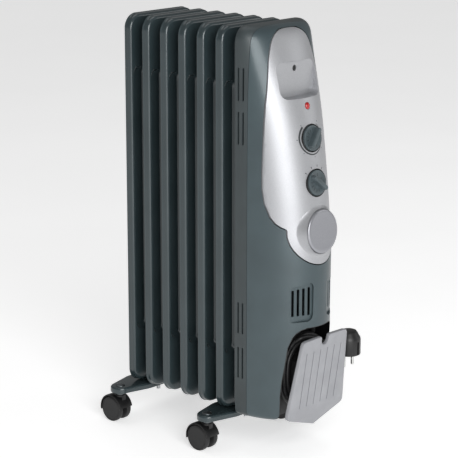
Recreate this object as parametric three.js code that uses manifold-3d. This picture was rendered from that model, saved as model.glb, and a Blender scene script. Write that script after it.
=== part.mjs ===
// Oil filled radiator heater on casters, in millimetres.
// +Z is up, -Y is the front with the controls, X runs across the fins.
// While it is built, y = 0 is the rear lip of the foremost fin and z = 0 is the floor.
// The finished group is moved so that the origin is the bottom centre of the body.
import * as THREE from 'three';
import { mergeVertices } from 'three/addons/utils/BufferGeometryUtils.js';
import { ParametricGeometry } from 'three/addons/geometries/ParametricGeometry.js';
import Module from 'manifold-3d';

const wasm = await Module();
wasm.setup();

// ---- driving dimensions -------------------------------------------------------------
const GAP = 0.3; // between pieces that touch
const BEYOND = 300; // how far a cutting prism runs past the piece

// fins
const FIN_COUNT = 7;
const FIN_PITCH = 36.8;
const FIN_WIDTH = 139.6;
const FIN_HEIGHT = 570;
const FIN_DEPTH = 11.8;
const FIN_BOTTOM = 58;
const FIN_CORNER = 22;
const FIN_BEND = 3;
const FIN_SHEET = 1.6;
const FIN_WEB = 5;
const GROOVE_WIDTH = 24;
const GROOVE_DEPTH = 2;
const GROOVE_EDGE = 6; // flat land between the fin's side and its first groove
const GROOVE_END = 83; // from the fin's end to the groove's end
const GROOVE_MIDDLE_X = 18;

// oil hubs
const HUB_INSET = 60;
const HUB_BOSS_RADIUS = 50;
const HUB_BOSS_HEIGHT = 2.5;
const HUB_TUBE_RADIUS = 22;
const HUB_BORE = 16;
const HUB_END_WALL = 3;
const HUB_SIDES = 12;

// housing
const HOUSING_HALF_WIDTH = 73;
const HOUSING_REAR = -4.5;
const HOUSING_SPLIT = -25.2;
const HOUSING_BOTTOM = 60;
const HOUSING_TOP = 631;
const HOUSING_CORNER = 20;
const HOUSING_FOOT_ROUND = 11;
const HOUSING_WALL = 2.5;
const NOSE_BASE = -8.2; // where the elliptical nose begins
// how far the nose stands forward of its base, by height above the floor
const NOSE_PROFILE = [
  [60, 84], [64, 91], [71, 94.5], [200, 96], [313, 96.5], [393, 88], [494, 72.5],
  [538, 61.5], [583, 47], [611, 37], [624, 29], [629, 20], [631, 8],
];
const NOSE_STEPS = 12;

// side vents in the rear frame
const SIDE_SLOT_HEIGHT = 47;
const SIDE_SLOT_WIDTH = 3;
const SIDE_SLOT_Y = [-10, -18];
const SIDE_SLOT_Z = [142, 209.5, 487.5, 550];

// front vent pockets
const POCKET_X = 45;
const POCKET_TURN = 25;
const POCKET_WIDTH = 35;
const POCKET_BOTTOM = 212;
const POCKET_TOP = 268;
const POCKET_TOP_DROP = 8;
const POCKET_CORNER = 6;
const POCKET_SLOTS = 4;
const POCKET_SLOT_WIDTH = 4;
const POCKET_SLOT_PITCH = 8.4;
const POCKET_SLOT_START = 4;
const POCKET_SLOT_MARGIN = 7;

// fascia
const FASCIA_WALL = 2.5;
const FASCIA_SEAM = 0.7;
const FASCIA_TOP = 624;
const FASCIA_EDGE = [
  [19, 623], [34, 614.5], [42, 602], [48, 582], [54.5, 546], [60, 500], [63, 440], [63.5, 392],
];
const FASCIA_HIP = [61, 364];
const FASCIA_STEP = [47.5, 349];
const LOBE_Z = 341;
const LOBE_RADIUS = 47;
const LOBE_START = 9; // degrees above level where the lobe leaves the step

// hand grip
const GRIP_HALF_WIDTH = 40;
const GRIP_BOTTOM = 529;
const GRIP_TOP = 579;
const GRIP_CORNER = 14;
const GRIP_FLOOR = -47.5;
const GRIP_SCREW_Z = 569;
const GRIP_SCREW_RADIUS = 4;

// badge disc
const BADGE_RADIUS = 32;
const BADGE_THICKNESS = 5;
const BADGE_PROUD = 5.4;
const BADGE_PEG_RADIUS = 5;
const BADGE_PEG_LENGTH = 12;
const BADGE_TILT = 6;

// controls
const THERMOSTAT_Z = 473;
const SELECTOR_Z = 410;
const DIAL_RADIUS = 18.5;
const DIAL_THICKNESS = 6;
const DIAL_PROUD = 2;
const DIAL_CLEARANCE = 1.2;
const KNOB_GRIP_HEIGHT = 8;
const KNOB_GRIP_WIDTH = 7;
const KNOB_GRIP_LENGTH = 33;
// where each grip points at rest, in degrees clockwise from straight up
const THERMOSTAT_POINTER = 40;
const SELECTOR_POINTER = -50;
const SHAFT_RADIUS = 3;
const BRACKET_DEPTH = 12; // behind the fascia's face
const BRACKET_SHEET = 1.5;
const BRACKET_HALF_WIDTH = 26;
const BRACKET_ABOVE = 24;
const BRACKET_BELOW = 24;
const CONTROL_BODY_SIZE = 32;
const CONTROL_BODY_DEPTH = 22;
const LAMP_Z = 518;
const LAMP_RADIUS = 5;
const LAMP_PROUD = 2.5;
const LAMP_LENGTH = 14;

// inside the housing
const SHIELD_Y = -19;
const SHIELD_SHEET = 1.5;
const SHIELD_FOOT_RADIUS = 9;
const ELEMENT_FLANGE_RADIUS = 19;
const ELEMENT_FLANGE = 6;
const ELEMENT_ROD_RADIUS = 4;
const ELEMENT_ROD_SPREAD = 7.5;
const ELEMENT_LENGTH = 205;
const TERMINAL_Z = 252;
const TERMINAL_SIZE = [44, 16, 18];
const CUTOUT_Z = 560;
const CUTOUT_RADIUS = 9;
const CUTOUT_HEIGHT = 10;
const LOOM_RADIUS = 3;

// cord recess, winder and plate
const RECESS_TOP = 201.5;
const RECESS_BOTTOM = 40; // below the housing, so the recess is open underneath
const RECESS_SHOULDER = 38; // half width at the top
const RECESS_WAIST = [[47, 172], [53.2, 100]];
const RECESS_CORNER = 15;
const RECESS_FLOOR = -53.2;
const WINDER_Z = 128;
const WINDER_RADIUS = 34;
const WINDER_STRAIGHT = 8; // half the straight part of the winder's sides
const CORD_DIAMETER = 7;
const COIL_ROWS = 3;
const COIL_LAYERS = 2;
const COIL_OFF_FLOOR = 3.6;
const PLATE_TILT = 9;
const PLATE_Y = -100.9; // the plate's middle plane at PLATE_PIVOT_Z
const PLATE_PIVOT_Z = 120;
const PLATE_THICKNESS = 6;
const PLATE_TOP = 190;
const PLATE_SHOULDER = 49;
const PLATE_HIP = 62;
const PLATE_HIP_Z = 69;
const PLATE_TIP_Z = 47.5;
const PLATE_CORNER = 9;
const PLATE_NOTCH_RADIUS = 7.5;
const PLATE_NOTCH_DEPTH = 12;
const PLATE_GROOVES = 6;
const PLATE_GROOVE_WIDTH = 1.6;
const PLATE_GROOVE_DEPTH = 0.8;
const PLATE_GROOVE_TOP = 170;
const PLATE_GROOVE_BOTTOM = 82;
const PLATE_GROOVE_SPAN = 38;

// gland, free cord and plug
const GLAND_X = 30;
const GLAND_Y = -64;
const GLAND_Z = 193;
const GLAND_FLANGE = 7;
const GLAND_NECK = 5;
const GLAND_LENGTH = 16;
const PLUG_X = 77;
const PLUG_Y = -94.2;
const PLUG_FACE_Z = 138;
const PLUG_HEIGHT = 37;
const PLUG_RADIUS = 18;
const PLUG_SLEEVE_Z = 158;
const PLUG_SLEEVE_END = 46;
const PIN_RADIUS = 2.4;
const PIN_LENGTH = 19;
const PIN_SPREAD = 9.5;
// the free stretch from the coil to the plug, points chosen by hand
const TAIL_ROUTE = [
  [-18, -82, 180.6], [-8, -82.2, 180.6], [4, -83.8, 177.8], [14, -86.6, 173], [24, -90.4, 167],
  [34, -93.4, 161.2], [44.9, -94.2, 158],
];

// feet
const FOOT_HALF_LENGTH = 106;
const FOOT_HALF_WIDTH = 26;
const FOOT_TIP_RADIUS = 16;
const FOOT_WAIST_X = 52;
const FOOT_SHEET = 2.5;
const FOOT_DEPTH = 9;
const FOOT_EDGE = 2;
const FOOT_BEHIND_LIP = -2; // the foot's middle from the rear lip of its fin
const FOOT_FINS = [1, 6]; // the fins that the feet stand under, counted from the front
const BOLT_RADIUS = 3;
const BOLT_AHEAD = 17; // the bolt from the foot's middle
const BOLT_END_Z = 40;
const BOLT_BEND = 0.5; // room between the hub tube and the bolt
const NUT_RADIUS = 6.5;
const NUT_HEIGHT = 6;
const NUT_WING = 8;

// casters
const CASTER_X = 91.5;
const WHEEL_RADIUS = 20;
const WHEEL_WIDTH = 9;
const WHEEL_SIDES = 16;
const CASTER_WEB = 8;
const CASTER_CLEARANCE = 0.4;
const CASTER_TRAIL = 9;
const HOOD_RADIUS = 23;
const HOOD_TURN = 12; // degrees that the hood leans back over the wheels
const AXLE_RADIUS = 3;
const STEM_RADIUS = 5;
const STEM_TOP = 64;
const STEM_COLLAR = 3;

// ---- joining and cutting ------------------------------------------------------------
function signedVolume(vertices, triangles) {
  const a = new THREE.Vector3();
  const b = new THREE.Vector3();
  const c = new THREE.Vector3();
  let sum = 0;
  for (let i = 0; i < triangles.length; i += 3) {
    a.fromArray(vertices, triangles[i] * 3);
    b.fromArray(vertices, triangles[i + 1] * 3);
    c.fromArray(vertices, triangles[i + 2] * 3);
    sum += a.dot(b.cross(c));
  }
  return sum;
}

// Makes a closed geometry into a solid, with its faces pointing out.
function solid(geometry) {
  const bare = geometry.clone();
  bare.deleteAttribute('normal');
  bare.deleteAttribute('uv');
  const merged = mergeVertices(bare, 1e-4);
  const vertices = merged.attributes.position.array;
  const index = merged.index.array;
  const triangles = [];
  for (let i = 0; i < index.length; i += 3) {
    const [a, b, c] = [index[i], index[i + 1], index[i + 2]];
    if (a !== b && b !== c && c !== a) triangles.push(a, b, c);
  }
  if (signedVolume(vertices, triangles) < 0) triangles.reverse();
  const mesh = new wasm.Mesh({
    numProp: 3,
    vertProperties: new Float32Array(vertices),
    triVerts: new Uint32Array(triangles),
    tolerance: 1e-4,
  });
  mesh.merge();
  return new wasm.Manifold(mesh);
}

function joined(pieces) {
  return pieces.reduce((sum, piece) => sum.add(piece));
}

function cut(body, tools) {
  return tools.reduce((rest, tool) => rest.subtract(tool), body);
}

// A named mesh with its own material.
function named(name, body, color, roughness, metalness) {
  const mesh = body.getMesh();
  const geometry = new THREE.BufferGeometry();
  geometry.setAttribute('position', new THREE.Float32BufferAttribute(Array.from(mesh.vertProperties), 3));
  geometry.setIndex(Array.from(mesh.triVerts));
  geometry.computeVertexNormals();
  const part = new THREE.Mesh(geometry, new THREE.MeshStandardMaterial({ color, roughness, metalness }));
  part.name = name;
  return part;
}

// ---- basic shapes -------------------------------------------------------------------
// A prism along Y of an outline drawn in X and Z.
function prismY(shape, yFront, yBack, bevel = 0, curveSegments = 4) {
  const geometry = new THREE.ExtrudeGeometry(shape, {
    depth: yBack - yFront - bevel,
    curveSegments,
    bevelEnabled: bevel > 0,
    bevelThickness: bevel,
    bevelSize: bevel,
    bevelOffset: -bevel,
    bevelSegments: 1,
  });
  geometry.rotateX(Math.PI / 2);
  geometry.translate(0, yBack, 0);
  return geometry;
}

// A prism along Z of an outline drawn in X and Y.
function prismZ(shape, zBottom, zTop, curveSegments = 3) {
  const depth = zTop - zBottom;
  const geometry = new THREE.ExtrudeGeometry(shape, { depth, bevelEnabled: false, curveSegments });
  geometry.translate(0, 0, zBottom);
  return geometry;
}

function block(x0, x1, y0, y1, z0, z1) {
  const geometry = new THREE.BoxGeometry(x1 - x0, y1 - y0, z1 - z0);
  geometry.translate((x0 + x1) / 2, (y0 + y1) / 2, (z0 + z1) / 2);
  return geometry;
}

// A turned piece about Y; each profile point is [radius, y].
function turnedY(profile, segments = 16) {
  return new THREE.LatheGeometry(profile.map(([r, y]) => new THREE.Vector2(r, y)), segments);
}

// A turned piece about Z; each profile point is [radius, z].
function turnedZ(profile, segments = 16) {
  const geometry = turnedY(profile, segments);
  geometry.rotateX(Math.PI / 2);
  return geometry;
}

// A turned piece about X; each profile point is [radius, x].
function turnedX(profile, segments = 16) {
  const geometry = turnedY(profile, segments);
  geometry.rotateZ(-Math.PI / 2);
  return geometry;
}

function rod(radius, from, to) {
  return [[0, from], [radius, from], [radius, to], [0, to]];
}

// An outline in X and Z with rounded corners, centred on x = 0.
function rounded(width, z0, z1, radius, steps = 4) {
  const reach = width / 2 - radius;
  const corners = [[reach, z0 + radius], [reach, z1 - radius], [-reach, z1 - radius], [-reach, z0 + radius]];
  const points = [];
  corners.forEach(([x, z], corner) => {
    for (let i = 0; i <= steps; i += 1) {
      const angle = (Math.PI / 2) * (corner - 1 + i / steps);
      points.push(new THREE.Vector2(x + radius * Math.cos(angle), z + radius * Math.sin(angle)));
    }
  });
  return new THREE.Shape(points);
}

// A tube along a curve with a round section.
function tube(points, radius, steps, sides) {
  const section = new THREE.Shape();
  section.absarc(0, 0, radius, 0, 2 * Math.PI);
  const route = new THREE.CatmullRomCurve3(points.map(([x, y, z]) => new THREE.Vector3(x, y, z)));
  return new THREE.ExtrudeGeometry(section, {
    steps,
    extrudePath: route,
    curveSegments: sides,
    bevelEnabled: false,
  });
}

const rad = THREE.MathUtils.degToRad;

function at(geometry, x, y, z) {
  geometry.translate(x, y, z);
  return geometry;
}

// ---- fins ---------------------------------------------------------------------------
const FIN_TOP = FIN_BOTTOM + FIN_HEIGHT;
const HUB_LOW_Z = FIN_BOTTOM + HUB_INSET;
const HUB_HIGH_Z = FIN_TOP - HUB_INSET;
const finLip = (k) => k * FIN_PITCH; // k = 0 is the foremost fin

function finPrism(inset, yFront, yBack) {
  const outline = rounded(FIN_WIDTH - 2 * inset, FIN_BOTTOM + inset, FIN_TOP - inset, FIN_CORNER - inset, 3);
  return solid(prismY(outline, yFront, yBack));
}

// The pressed sheet: a rounded tray with a bevelled front bend.
function finTray(face, y) {
  const bevelled = solid(prismY(rounded(FIN_WIDTH, FIN_BOTTOM, FIN_TOP, FIN_CORNER, 3), face, y, FIN_BEND));
  const front = bevelled.intersect(solid(block(-FIN_WIDTH, FIN_WIDTH, face - 1, y, 0, FIN_TOP + 1)));
  return front.subtract(finPrism(FIN_SHEET, face + FIN_WEB, y + 1));
}

function finGrooves(face) {
  const sideX = FIN_WIDTH / 2 - GROOVE_EDGE - GROOVE_WIDTH / 2;
  const outline = rounded(
    GROOVE_WIDTH, FIN_BOTTOM + GROOVE_END, FIN_TOP - GROOVE_END, GROOVE_WIDTH / 2 - 0.4, 2);
  return [-sideX, -GROOVE_MIDDLE_X, GROOVE_MIDDLE_X, sideX].map((x) =>
    solid(at(prismY(outline, face - 1, face + GROOVE_DEPTH), x, 0, 0)));
}

// One hub: the boss on the face and the tube that reaches back to the next fin.
function finHub(face, tubeEnd) {
  const h = HUB_BOSS_HEIGHT;
  const r = HUB_BOSS_RADIUS;
  const t = HUB_TUBE_RADIUS;
  return turnedY([[0, face - h], [r - 8, face - h], [r, face], [r, face + 1], [t, face + 1], [t, tubeEnd],
    [0, tubeEnd]], HUB_SIDES);
}

function fin(k) {
  const y = finLip(k);
  const face = y - FIN_DEPTH;
  const last = k === FIN_COUNT - 1;
  const tubeEnd = last ? y + HUB_END_WALL : finLip(k + 1) - FIN_DEPTH - HUB_BOSS_HEIGHT - GAP;
  let body = cut(finTray(face, y), finGrooves(face));
  for (const z of [HUB_LOW_Z, HUB_HIGH_Z]) {
    const closedFront = k === 0 && z === HUB_HIGH_Z;
    const boreFront = closedFront ? face + HUB_END_WALL : face - 2 * HUB_BOSS_HEIGHT;
    const boreBack = last ? tubeEnd - HUB_END_WALL : tubeEnd + 1;
    const bore = turnedY(rod(HUB_BORE, boreFront, boreBack), HUB_SIDES);
    body = body.add(solid(at(finHub(face, tubeEnd), 0, 0, z))).subtract(solid(at(bore, 0, 0, z)));
  }
  return named(`fin_${FIN_COUNT - k}`, body, 0x40474a, 0.42, 0.35);
}

// ---- housing ------------------------------------------------------------------------
function noseDepth(z) {
  const points = NOSE_PROFILE;
  const clamped = THREE.MathUtils.clamp(z, points[0][0], points[points.length - 1][0]);
  const i = Math.max(1, points.findIndex(([height]) => height >= clamped));
  const [z0, d0] = points[i - 1];
  const [z1, d1] = points[i];
  return THREE.MathUtils.lerp(d0, d1, (clamped - z0) / (z1 - z0));
}

function halfWidth(z) {
  const top = z - (HOUSING_TOP - HOUSING_CORNER);
  const low = HOUSING_BOTTOM + HOUSING_FOOT_ROUND - z;
  const curve = (radius, over) => Math.sqrt(Math.max(0, radius ** 2 - over ** 2)) - radius;
  const rounding = (radius, over) => HOUSING_HALF_WIDTH + curve(radius, over);
  if (top > 0) return rounding(HOUSING_CORNER, top);
  if (low > 0) return rounding(HOUSING_FOOT_ROUND, low);
  return HOUSING_HALF_WIDTH;
}

// The size of a level, moved inwards by a wall.
function shrunk(measure, z, wall) {
  return Math.min(measure(z) - wall, measure(z - wall), measure(z + wall));
}

function noseSurface(x, z) {
  return NOSE_BASE - noseDepth(z) * Math.sqrt(1 - (x / halfWidth(z)) ** 2);
}

// A closed solid of the housing's outside, moved inwards by a wall; its back is flat at rearY.
function housingForm(wall, rearY) {
  const low = HOUSING_BOTTOM + wall;
  const high = HOUSING_TOP - wall;
  const levels = NOSE_PROFILE.map(([z]) => z).filter((z) => z > low + 0.5 && z < high - 0.5);
  const heights = [low, ...levels, high];
  const rings = heights.map((z) => {
    const a = shrunk(halfWidth, z, wall);
    const b = shrunk(noseDepth, z, wall);
    const ring = [new THREE.Vector3(-a, rearY, z), new THREE.Vector3(a, rearY, z)];
    for (let i = 0; i <= NOSE_STEPS; i += 1) {
      const angle = (Math.PI * i) / NOSE_STEPS;
      ring.push(new THREE.Vector3(a * Math.cos(angle), NOSE_BASE - b * Math.sin(angle), z));
    }
    return ring;
  });
  const centre = (ring) => ring.map(() => new THREE.Vector3(0, NOSE_BASE, ring[0].z));
  const stations = [centre(rings[0]), ...rings, centre(rings[rings.length - 1])];
  const around = rings[0].length;
  const surface = (u, v, target) => {
    const ring = stations[Math.round(v * (stations.length - 1))];
    target.copy(ring[Math.round(u * around) % around]);
  };
  return solid(new ParametricGeometry(surface, around, stations.length - 1));
}

const OUTSIDE = housingForm(0, HOUSING_REAR);

function sideSlots() {
  return SIDE_SLOT_Y.flatMap((y) => SIDE_SLOT_Z.map((z) => solid(block(
    -BEYOND, BEYOND, y - SIDE_SLOT_WIDTH / 2, y + SIDE_SLOT_WIDTH / 2,
    z - SIDE_SLOT_HEIGHT / 2, z + SIDE_SLOT_HEIGHT / 2))));
}

function housingShell() {
  return OUTSIDE.subtract(housingForm(HOUSING_WALL, HOUSING_REAR + BEYOND));
}

function housingRearFrame() {
  const strip = solid(block(-BEYOND, BEYOND, HOUSING_SPLIT, BEYOND, 0, BEYOND * 3));
  const roomForFin = finPrism(-GAP, finLip(0) - FIN_DEPTH - HUB_BOSS_HEIGHT - GAP, BEYOND);
  const body = cut(housingShell().intersect(strip), [roomForFin, ...sideSlots()]);
  return named('housing_rear_frame', body, 0x4d5557, 0.45, 0.1);
}

// A vent pocket's tool: side is -1 for the left pocket, z and along are in the pocket's own frame.
function pocketTool(side, shapePoints, depthOut, depthIn) {
  const shape = new THREE.Shape(shapePoints.map(([s, z]) => new THREE.Vector2(-side * s, z)));
  const geometry = prismY(shape, -depthOut, depthIn);
  geometry.rotateZ(side * rad(POCKET_TURN));
  return solid(at(geometry, side * POCKET_X, noseSurface(POCKET_X, POCKET_BOTTOM), 0));
}

function pocketOutline(grow) {
  const c = POCKET_CORNER;
  const low = POCKET_BOTTOM - grow;
  const left = -grow;
  const right = POCKET_WIDTH + grow;
  const top = POCKET_TOP + grow;
  return [
    [left, low + 2], [left + 2, low], [right - c, low], [right, low + c], [right, top - 3], [right - 3, top],
    [right - c, top], [left + c, top - POCKET_TOP_DROP / 2], [left, top - POCKET_TOP_DROP]];
}

function pocketSlots(side) {
  return Array.from({ length: POCKET_SLOTS }, (_, i) => {
    const s = POCKET_SLOT_START + i * POCKET_SLOT_PITCH;
    const half = POCKET_SLOT_WIDTH / 2;
    const rise = (i * POCKET_TOP_DROP) / (2 * POCKET_SLOTS);
    const top = POCKET_TOP - POCKET_TOP_DROP - POCKET_SLOT_MARGIN + 2 + rise;
    const low = POCKET_BOTTOM + POCKET_SLOT_MARGIN;
    return pocketTool(side, [[s - half, low], [s + half, low], [s + half, top], [s - half, top]], 1, 30);
  });
}

function recessOutline(grow) {
  const [upper, lower] = RECESS_WAIST;
  const top = RECESS_TOP + grow;
  const low = RECESS_BOTTOM - grow;
  const shoulder = RECESS_SHOULDER + grow;
  const shape = new THREE.Shape();
  shape.moveTo(-shoulder + RECESS_CORNER, top);
  shape.lineTo(shoulder - RECESS_CORNER, top);
  shape.quadraticCurveTo(shoulder + 3, top, upper[0] + grow, upper[1]);
  shape.quadraticCurveTo(lower[0] + grow - 1.5, (upper[1] + lower[1]) / 2, lower[0] + grow, lower[1]);
  shape.quadraticCurveTo(lower[0] + grow, low, lower[0] + grow - RECESS_CORNER, low);
  shape.lineTo(-lower[0] - grow + RECESS_CORNER, low);
  shape.quadraticCurveTo(-lower[0] - grow, low, -lower[0] - grow, lower[1]);
  shape.quadraticCurveTo(-lower[0] - grow + 1.5, (upper[1] + lower[1]) / 2, -upper[0] - grow, upper[1]);
  shape.quadraticCurveTo(-shoulder - 3, top, -shoulder + RECESS_CORNER, top);
  return shape;
}

function housingCover() {
  const forward = solid(block(-BEYOND, BEYOND, -BEYOND, HOUSING_SPLIT - GAP, 0, BEYOND * 3));
  let body = housingShell().intersect(forward);
  const wall = HOUSING_WALL;
  const recessLining = OUTSIDE.intersect(solid(prismY(recessOutline(wall), -BEYOND, RECESS_FLOOR + wall)));
  body = body.add(recessLining);
  for (const side of [-1, 1]) {
    body = body.add(OUTSIDE.intersect(pocketTool(side, pocketOutline(wall), BEYOND, wall)));
  }
  body = body.subtract(solid(prismY(recessOutline(0), -BEYOND, RECESS_FLOOR)));
  for (const side of [-1, 1]) {
    body = body.subtract(pocketTool(side, pocketOutline(0), BEYOND, 0));
    body = cut(body, pocketSlots(side));
  }
  body = body.subtract(solid(prismY(fasciaOutline(FASCIA_SEAM), -BEYOND, HOUSING_SPLIT - 8)));
  const glandHole = turnedZ(rod(GLAND_NECK + GAP, GLAND_Z - 4, RECESS_TOP + wall + 4));
  body = body.subtract(solid(at(glandHole, GLAND_X, GLAND_Y, 0)));
  return named('housing_cover', body, 0x4d5557, 0.45, 0.1);
}

// ---- fascia -------------------------------------------------------------------------
function fasciaOutline(grow) {
  const right = FASCIA_EDGE.map(([x, z]) => new THREE.Vector2(x + grow, z + (z > 600 ? grow : 0)));
  const left = right.map((p) => new THREE.Vector2(-p.x, p.y)).reverse();
  const [hipX, hipZ] = FASCIA_HIP;
  const [stepX, stepZ] = FASCIA_STEP;
  const shape = new THREE.Shape();
  shape.moveTo(0, FASCIA_TOP + grow);
  shape.splineThru(right);
  shape.quadraticCurveTo(hipX + 2 + grow, hipZ - grow, stepX + grow, stepZ - grow);
  shape.absarc(0, LOBE_Z, LOBE_RADIUS + grow, rad(LOBE_START), Math.PI - rad(LOBE_START), true);
  shape.lineTo(-stepX - grow, stepZ - grow);
  shape.quadraticCurveTo(-hipX - 2 - grow, hipZ - grow, left[0].x, left[0].y);
  shape.splineThru([...left.slice(1), new THREE.Vector2(0, FASCIA_TOP + grow)]);
  return shape;
}

const PANEL_TILT = Math.atan2(
  noseSurface(0, THERMOSTAT_Z) - noseSurface(0, SELECTOR_Z), THERMOSTAT_Z - SELECTOR_Z);

// Places a piece made about the Y axis, with -Y pointing out, on the fascia's centre line.
function onPanel(geometry, z, tilt = PANEL_TILT) {
  geometry.rotateX(-tilt);
  return at(geometry, 0, noseSurface(0, z), z);
}

function fascia() {
  const outline = solid(prismY(fasciaOutline(0), -BEYOND, HOUSING_SPLIT - 10));
  let body = OUTSIDE.subtract(housingForm(FASCIA_WALL, HOUSING_REAR + BEYOND)).intersect(outline);
  const grip = (grow) => rounded(
    2 * (GRIP_HALF_WIDTH + grow), GRIP_BOTTOM - grow, GRIP_TOP + grow, GRIP_CORNER + grow);
  const lining = OUTSIDE.intersect(solid(prismY(grip(FASCIA_WALL), -BEYOND, GRIP_FLOOR + FASCIA_WALL)));
  body = body.add(lining.intersect(outline));
  body = body.subtract(solid(prismY(grip(0), -BEYOND, GRIP_FLOOR)));
  const screwHole = turnedY(rod(GRIP_SCREW_RADIUS + GAP, GRIP_FLOOR - 2, GRIP_FLOOR + 5), 16);
  const lampHole = turnedY(rod(LAMP_RADIUS + GAP, -12, 12), 16);
  const pegHole = turnedY(rod(BADGE_PEG_RADIUS + GAP, -12, 12), 16);
  const dialHole = () => turnedY(rod(DIAL_RADIUS + DIAL_CLEARANCE, -16, 16), 24);
  return named('fascia', cut(body, [
    solid(at(screwHole, 0, 0, GRIP_SCREW_Z)),
    solid(onPanel(lampHole, LAMP_Z)),
    solid(onPanel(pegHole, LOBE_Z, rad(BADGE_TILT))),
    solid(onPanel(dialHole(), THERMOSTAT_Z)),
    solid(onPanel(dialHole(), SELECTOR_Z)),
  ]), 0xc9cacd, 0.34, 0.75);
}

function gripScrew() {
  const profile = [[0, GRIP_FLOOR - 1.2], [GRIP_SCREW_RADIUS - 1, GRIP_FLOOR - 1.2],
    [GRIP_SCREW_RADIUS, GRIP_FLOOR], [GRIP_SCREW_RADIUS, GRIP_FLOOR + 2], [1.8, GRIP_FLOOR + 2],
    [1.8, GRIP_FLOOR + 14], [0, GRIP_FLOOR + 14]];
  return named('fascia_screw', solid(at(turnedY(profile, 16), 0, 0, GRIP_SCREW_Z)), 0x2b2b2d, 0.4, 0.6);
}

function badgeDisc() {
  const r = BADGE_RADIUS;
  const front = -BADGE_PROUD;
  const profile = [[0, front], [r - 2, front], [r, front + 1.4], [r, front + BADGE_THICKNESS - GAP],
    [BADGE_PEG_RADIUS, front + BADGE_THICKNESS - GAP], [BADGE_PEG_RADIUS, BADGE_PEG_LENGTH],
    [0, BADGE_PEG_LENGTH]];
  const disc = solid(onPanel(turnedY(profile, 28), LOBE_Z, rad(BADGE_TILT)));
  return named('badge_disc', disc, 0xb2b3b7, 0.38, 0.7);
}

// The lamp is one sealed piece: a red lens with its holder.
function lampLens() {
  const r = LAMP_RADIUS;
  const profile = [[0, -LAMP_PROUD], [0.55 * r, -0.85 * LAMP_PROUD], [0.9 * r, -0.4 * LAMP_PROUD], [r, 0],
    [r, LAMP_LENGTH], [0, LAMP_LENGTH]];
  return named('lamp_lens', solid(onPanel(turnedY(profile, 16), LAMP_Z)), 0xc01818, 0.2, 0);
}

// ---- controls -----------------------------------------------------------------------
function knob(name, z, pointer) {
  const r = DIAL_RADIUS;
  const front = -DIAL_PROUD;
  const back = front + DIAL_THICKNESS;
  const dial = turnedY([[0, front], [r - 1.5, front], [r, front + 1.5], [r, back], [0, back]], 24);
  const bar = rounded(KNOB_GRIP_LENGTH, -KNOB_GRIP_WIDTH / 2, KNOB_GRIP_WIDTH / 2, KNOB_GRIP_WIDTH / 2 - 0.4);
  const grip = prismY(bar, front - KNOB_GRIP_HEIGHT, front + 1, 1.2, 4);
  grip.rotateY(rad(pointer - 90));
  const stemEnd = BRACKET_DEPTH + BRACKET_SHEET + CONTROL_BODY_DEPTH / 2;
  const stem = turnedY(rod(SHAFT_RADIUS, back - 1, stemEnd), 16);
  const body = joined([dial, grip, stem].map((piece) => solid(onPanel(piece, z))));
  return named(name, body, 0x5e6b70, 0.5, 0.1);
}

function controlBody(name, z, color) {
  const half = CONTROL_BODY_SIZE / 2;
  const front = BRACKET_DEPTH + BRACKET_SHEET + GAP;
  const box = prismY(rounded(CONTROL_BODY_SIZE, -half, half, 4), front, front + CONTROL_BODY_DEPTH);
  const hole = turnedY(rod(SHAFT_RADIUS + GAP, front - 1, front + CONTROL_BODY_DEPTH / 2 + 1), 16);
  return named(name, solid(onPanel(box, z)).subtract(solid(onPanel(hole, z))), color, 0.6, 0.05);
}

function controlBracket() {
  const low = SELECTOR_Z - BRACKET_BELOW;
  const high = THERMOSTAT_Z + BRACKET_ABOVE;
  const w = BRACKET_HALF_WIDTH;
  const place = (geometry) => onPanel(geometry, SELECTOR_Z);
  const z0 = low - SELECTOR_Z;
  const z1 = high - SELECTOR_Z;
  const front = BRACKET_DEPTH;
  const back = front + BEYOND / 3;
  const channel = solid(place(block(-w, w, front, back, z0, z1)));
  const inside = w - BRACKET_SHEET;
  const hollow = solid(place(block(-inside, inside, front + BRACKET_SHEET, back + 1, z0 - 1, z1 + 1)));
  const behind = solid(block(-BEYOND, BEYOND, SHIELD_Y - GAP, BEYOND, 0, BEYOND * 3));
  const holes = [THERMOSTAT_Z, SELECTOR_Z].map((z) =>
    solid(onPanel(turnedY(rod(SHAFT_RADIUS + 1, -BRACKET_DEPTH, 2 * BRACKET_DEPTH), 16), z)));
  return named('control_bracket', cut(channel, [hollow, behind, ...holes]), 0x9a9c9e, 0.4, 0.9);
}

// ---- inside the housing -------------------------------------------------------------
function heatShield() {
  const half = HOUSING_HALF_WIDTH - HOUSING_WALL - GAP;
  const outline = rounded(2 * half, HOUSING_BOTTOM + HOUSING_WALL + HOUSING_FOOT_ROUND / 2,
    HOUSING_TOP - HOUSING_WALL - GAP, HOUSING_CORNER + 2);
  let body = solid(prismY(outline, SHIELD_Y, SHIELD_Y + SHIELD_SHEET));
  const finFace = finLip(0) - FIN_DEPTH - HUB_BOSS_HEIGHT - GAP;
  for (const x of [-30, 30]) {
    body = body.add(solid(at(turnedY(rod(SHIELD_FOOT_RADIUS, SHIELD_Y + 1, finFace), 16), x, 0, HUB_HIGH_Z)));
  }
  const hubHole = turnedY(rod(ELEMENT_FLANGE_RADIUS + 1, SHIELD_Y - 1, 0), 28);
  body = body.intersect(housingForm(HOUSING_WALL + GAP, HOUSING_REAR));
  return named('heat_shield', body.subtract(solid(at(hubHole, 0, 0, HUB_LOW_Z))), 0xa4a6a8, 0.35, 0.95);
}

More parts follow.
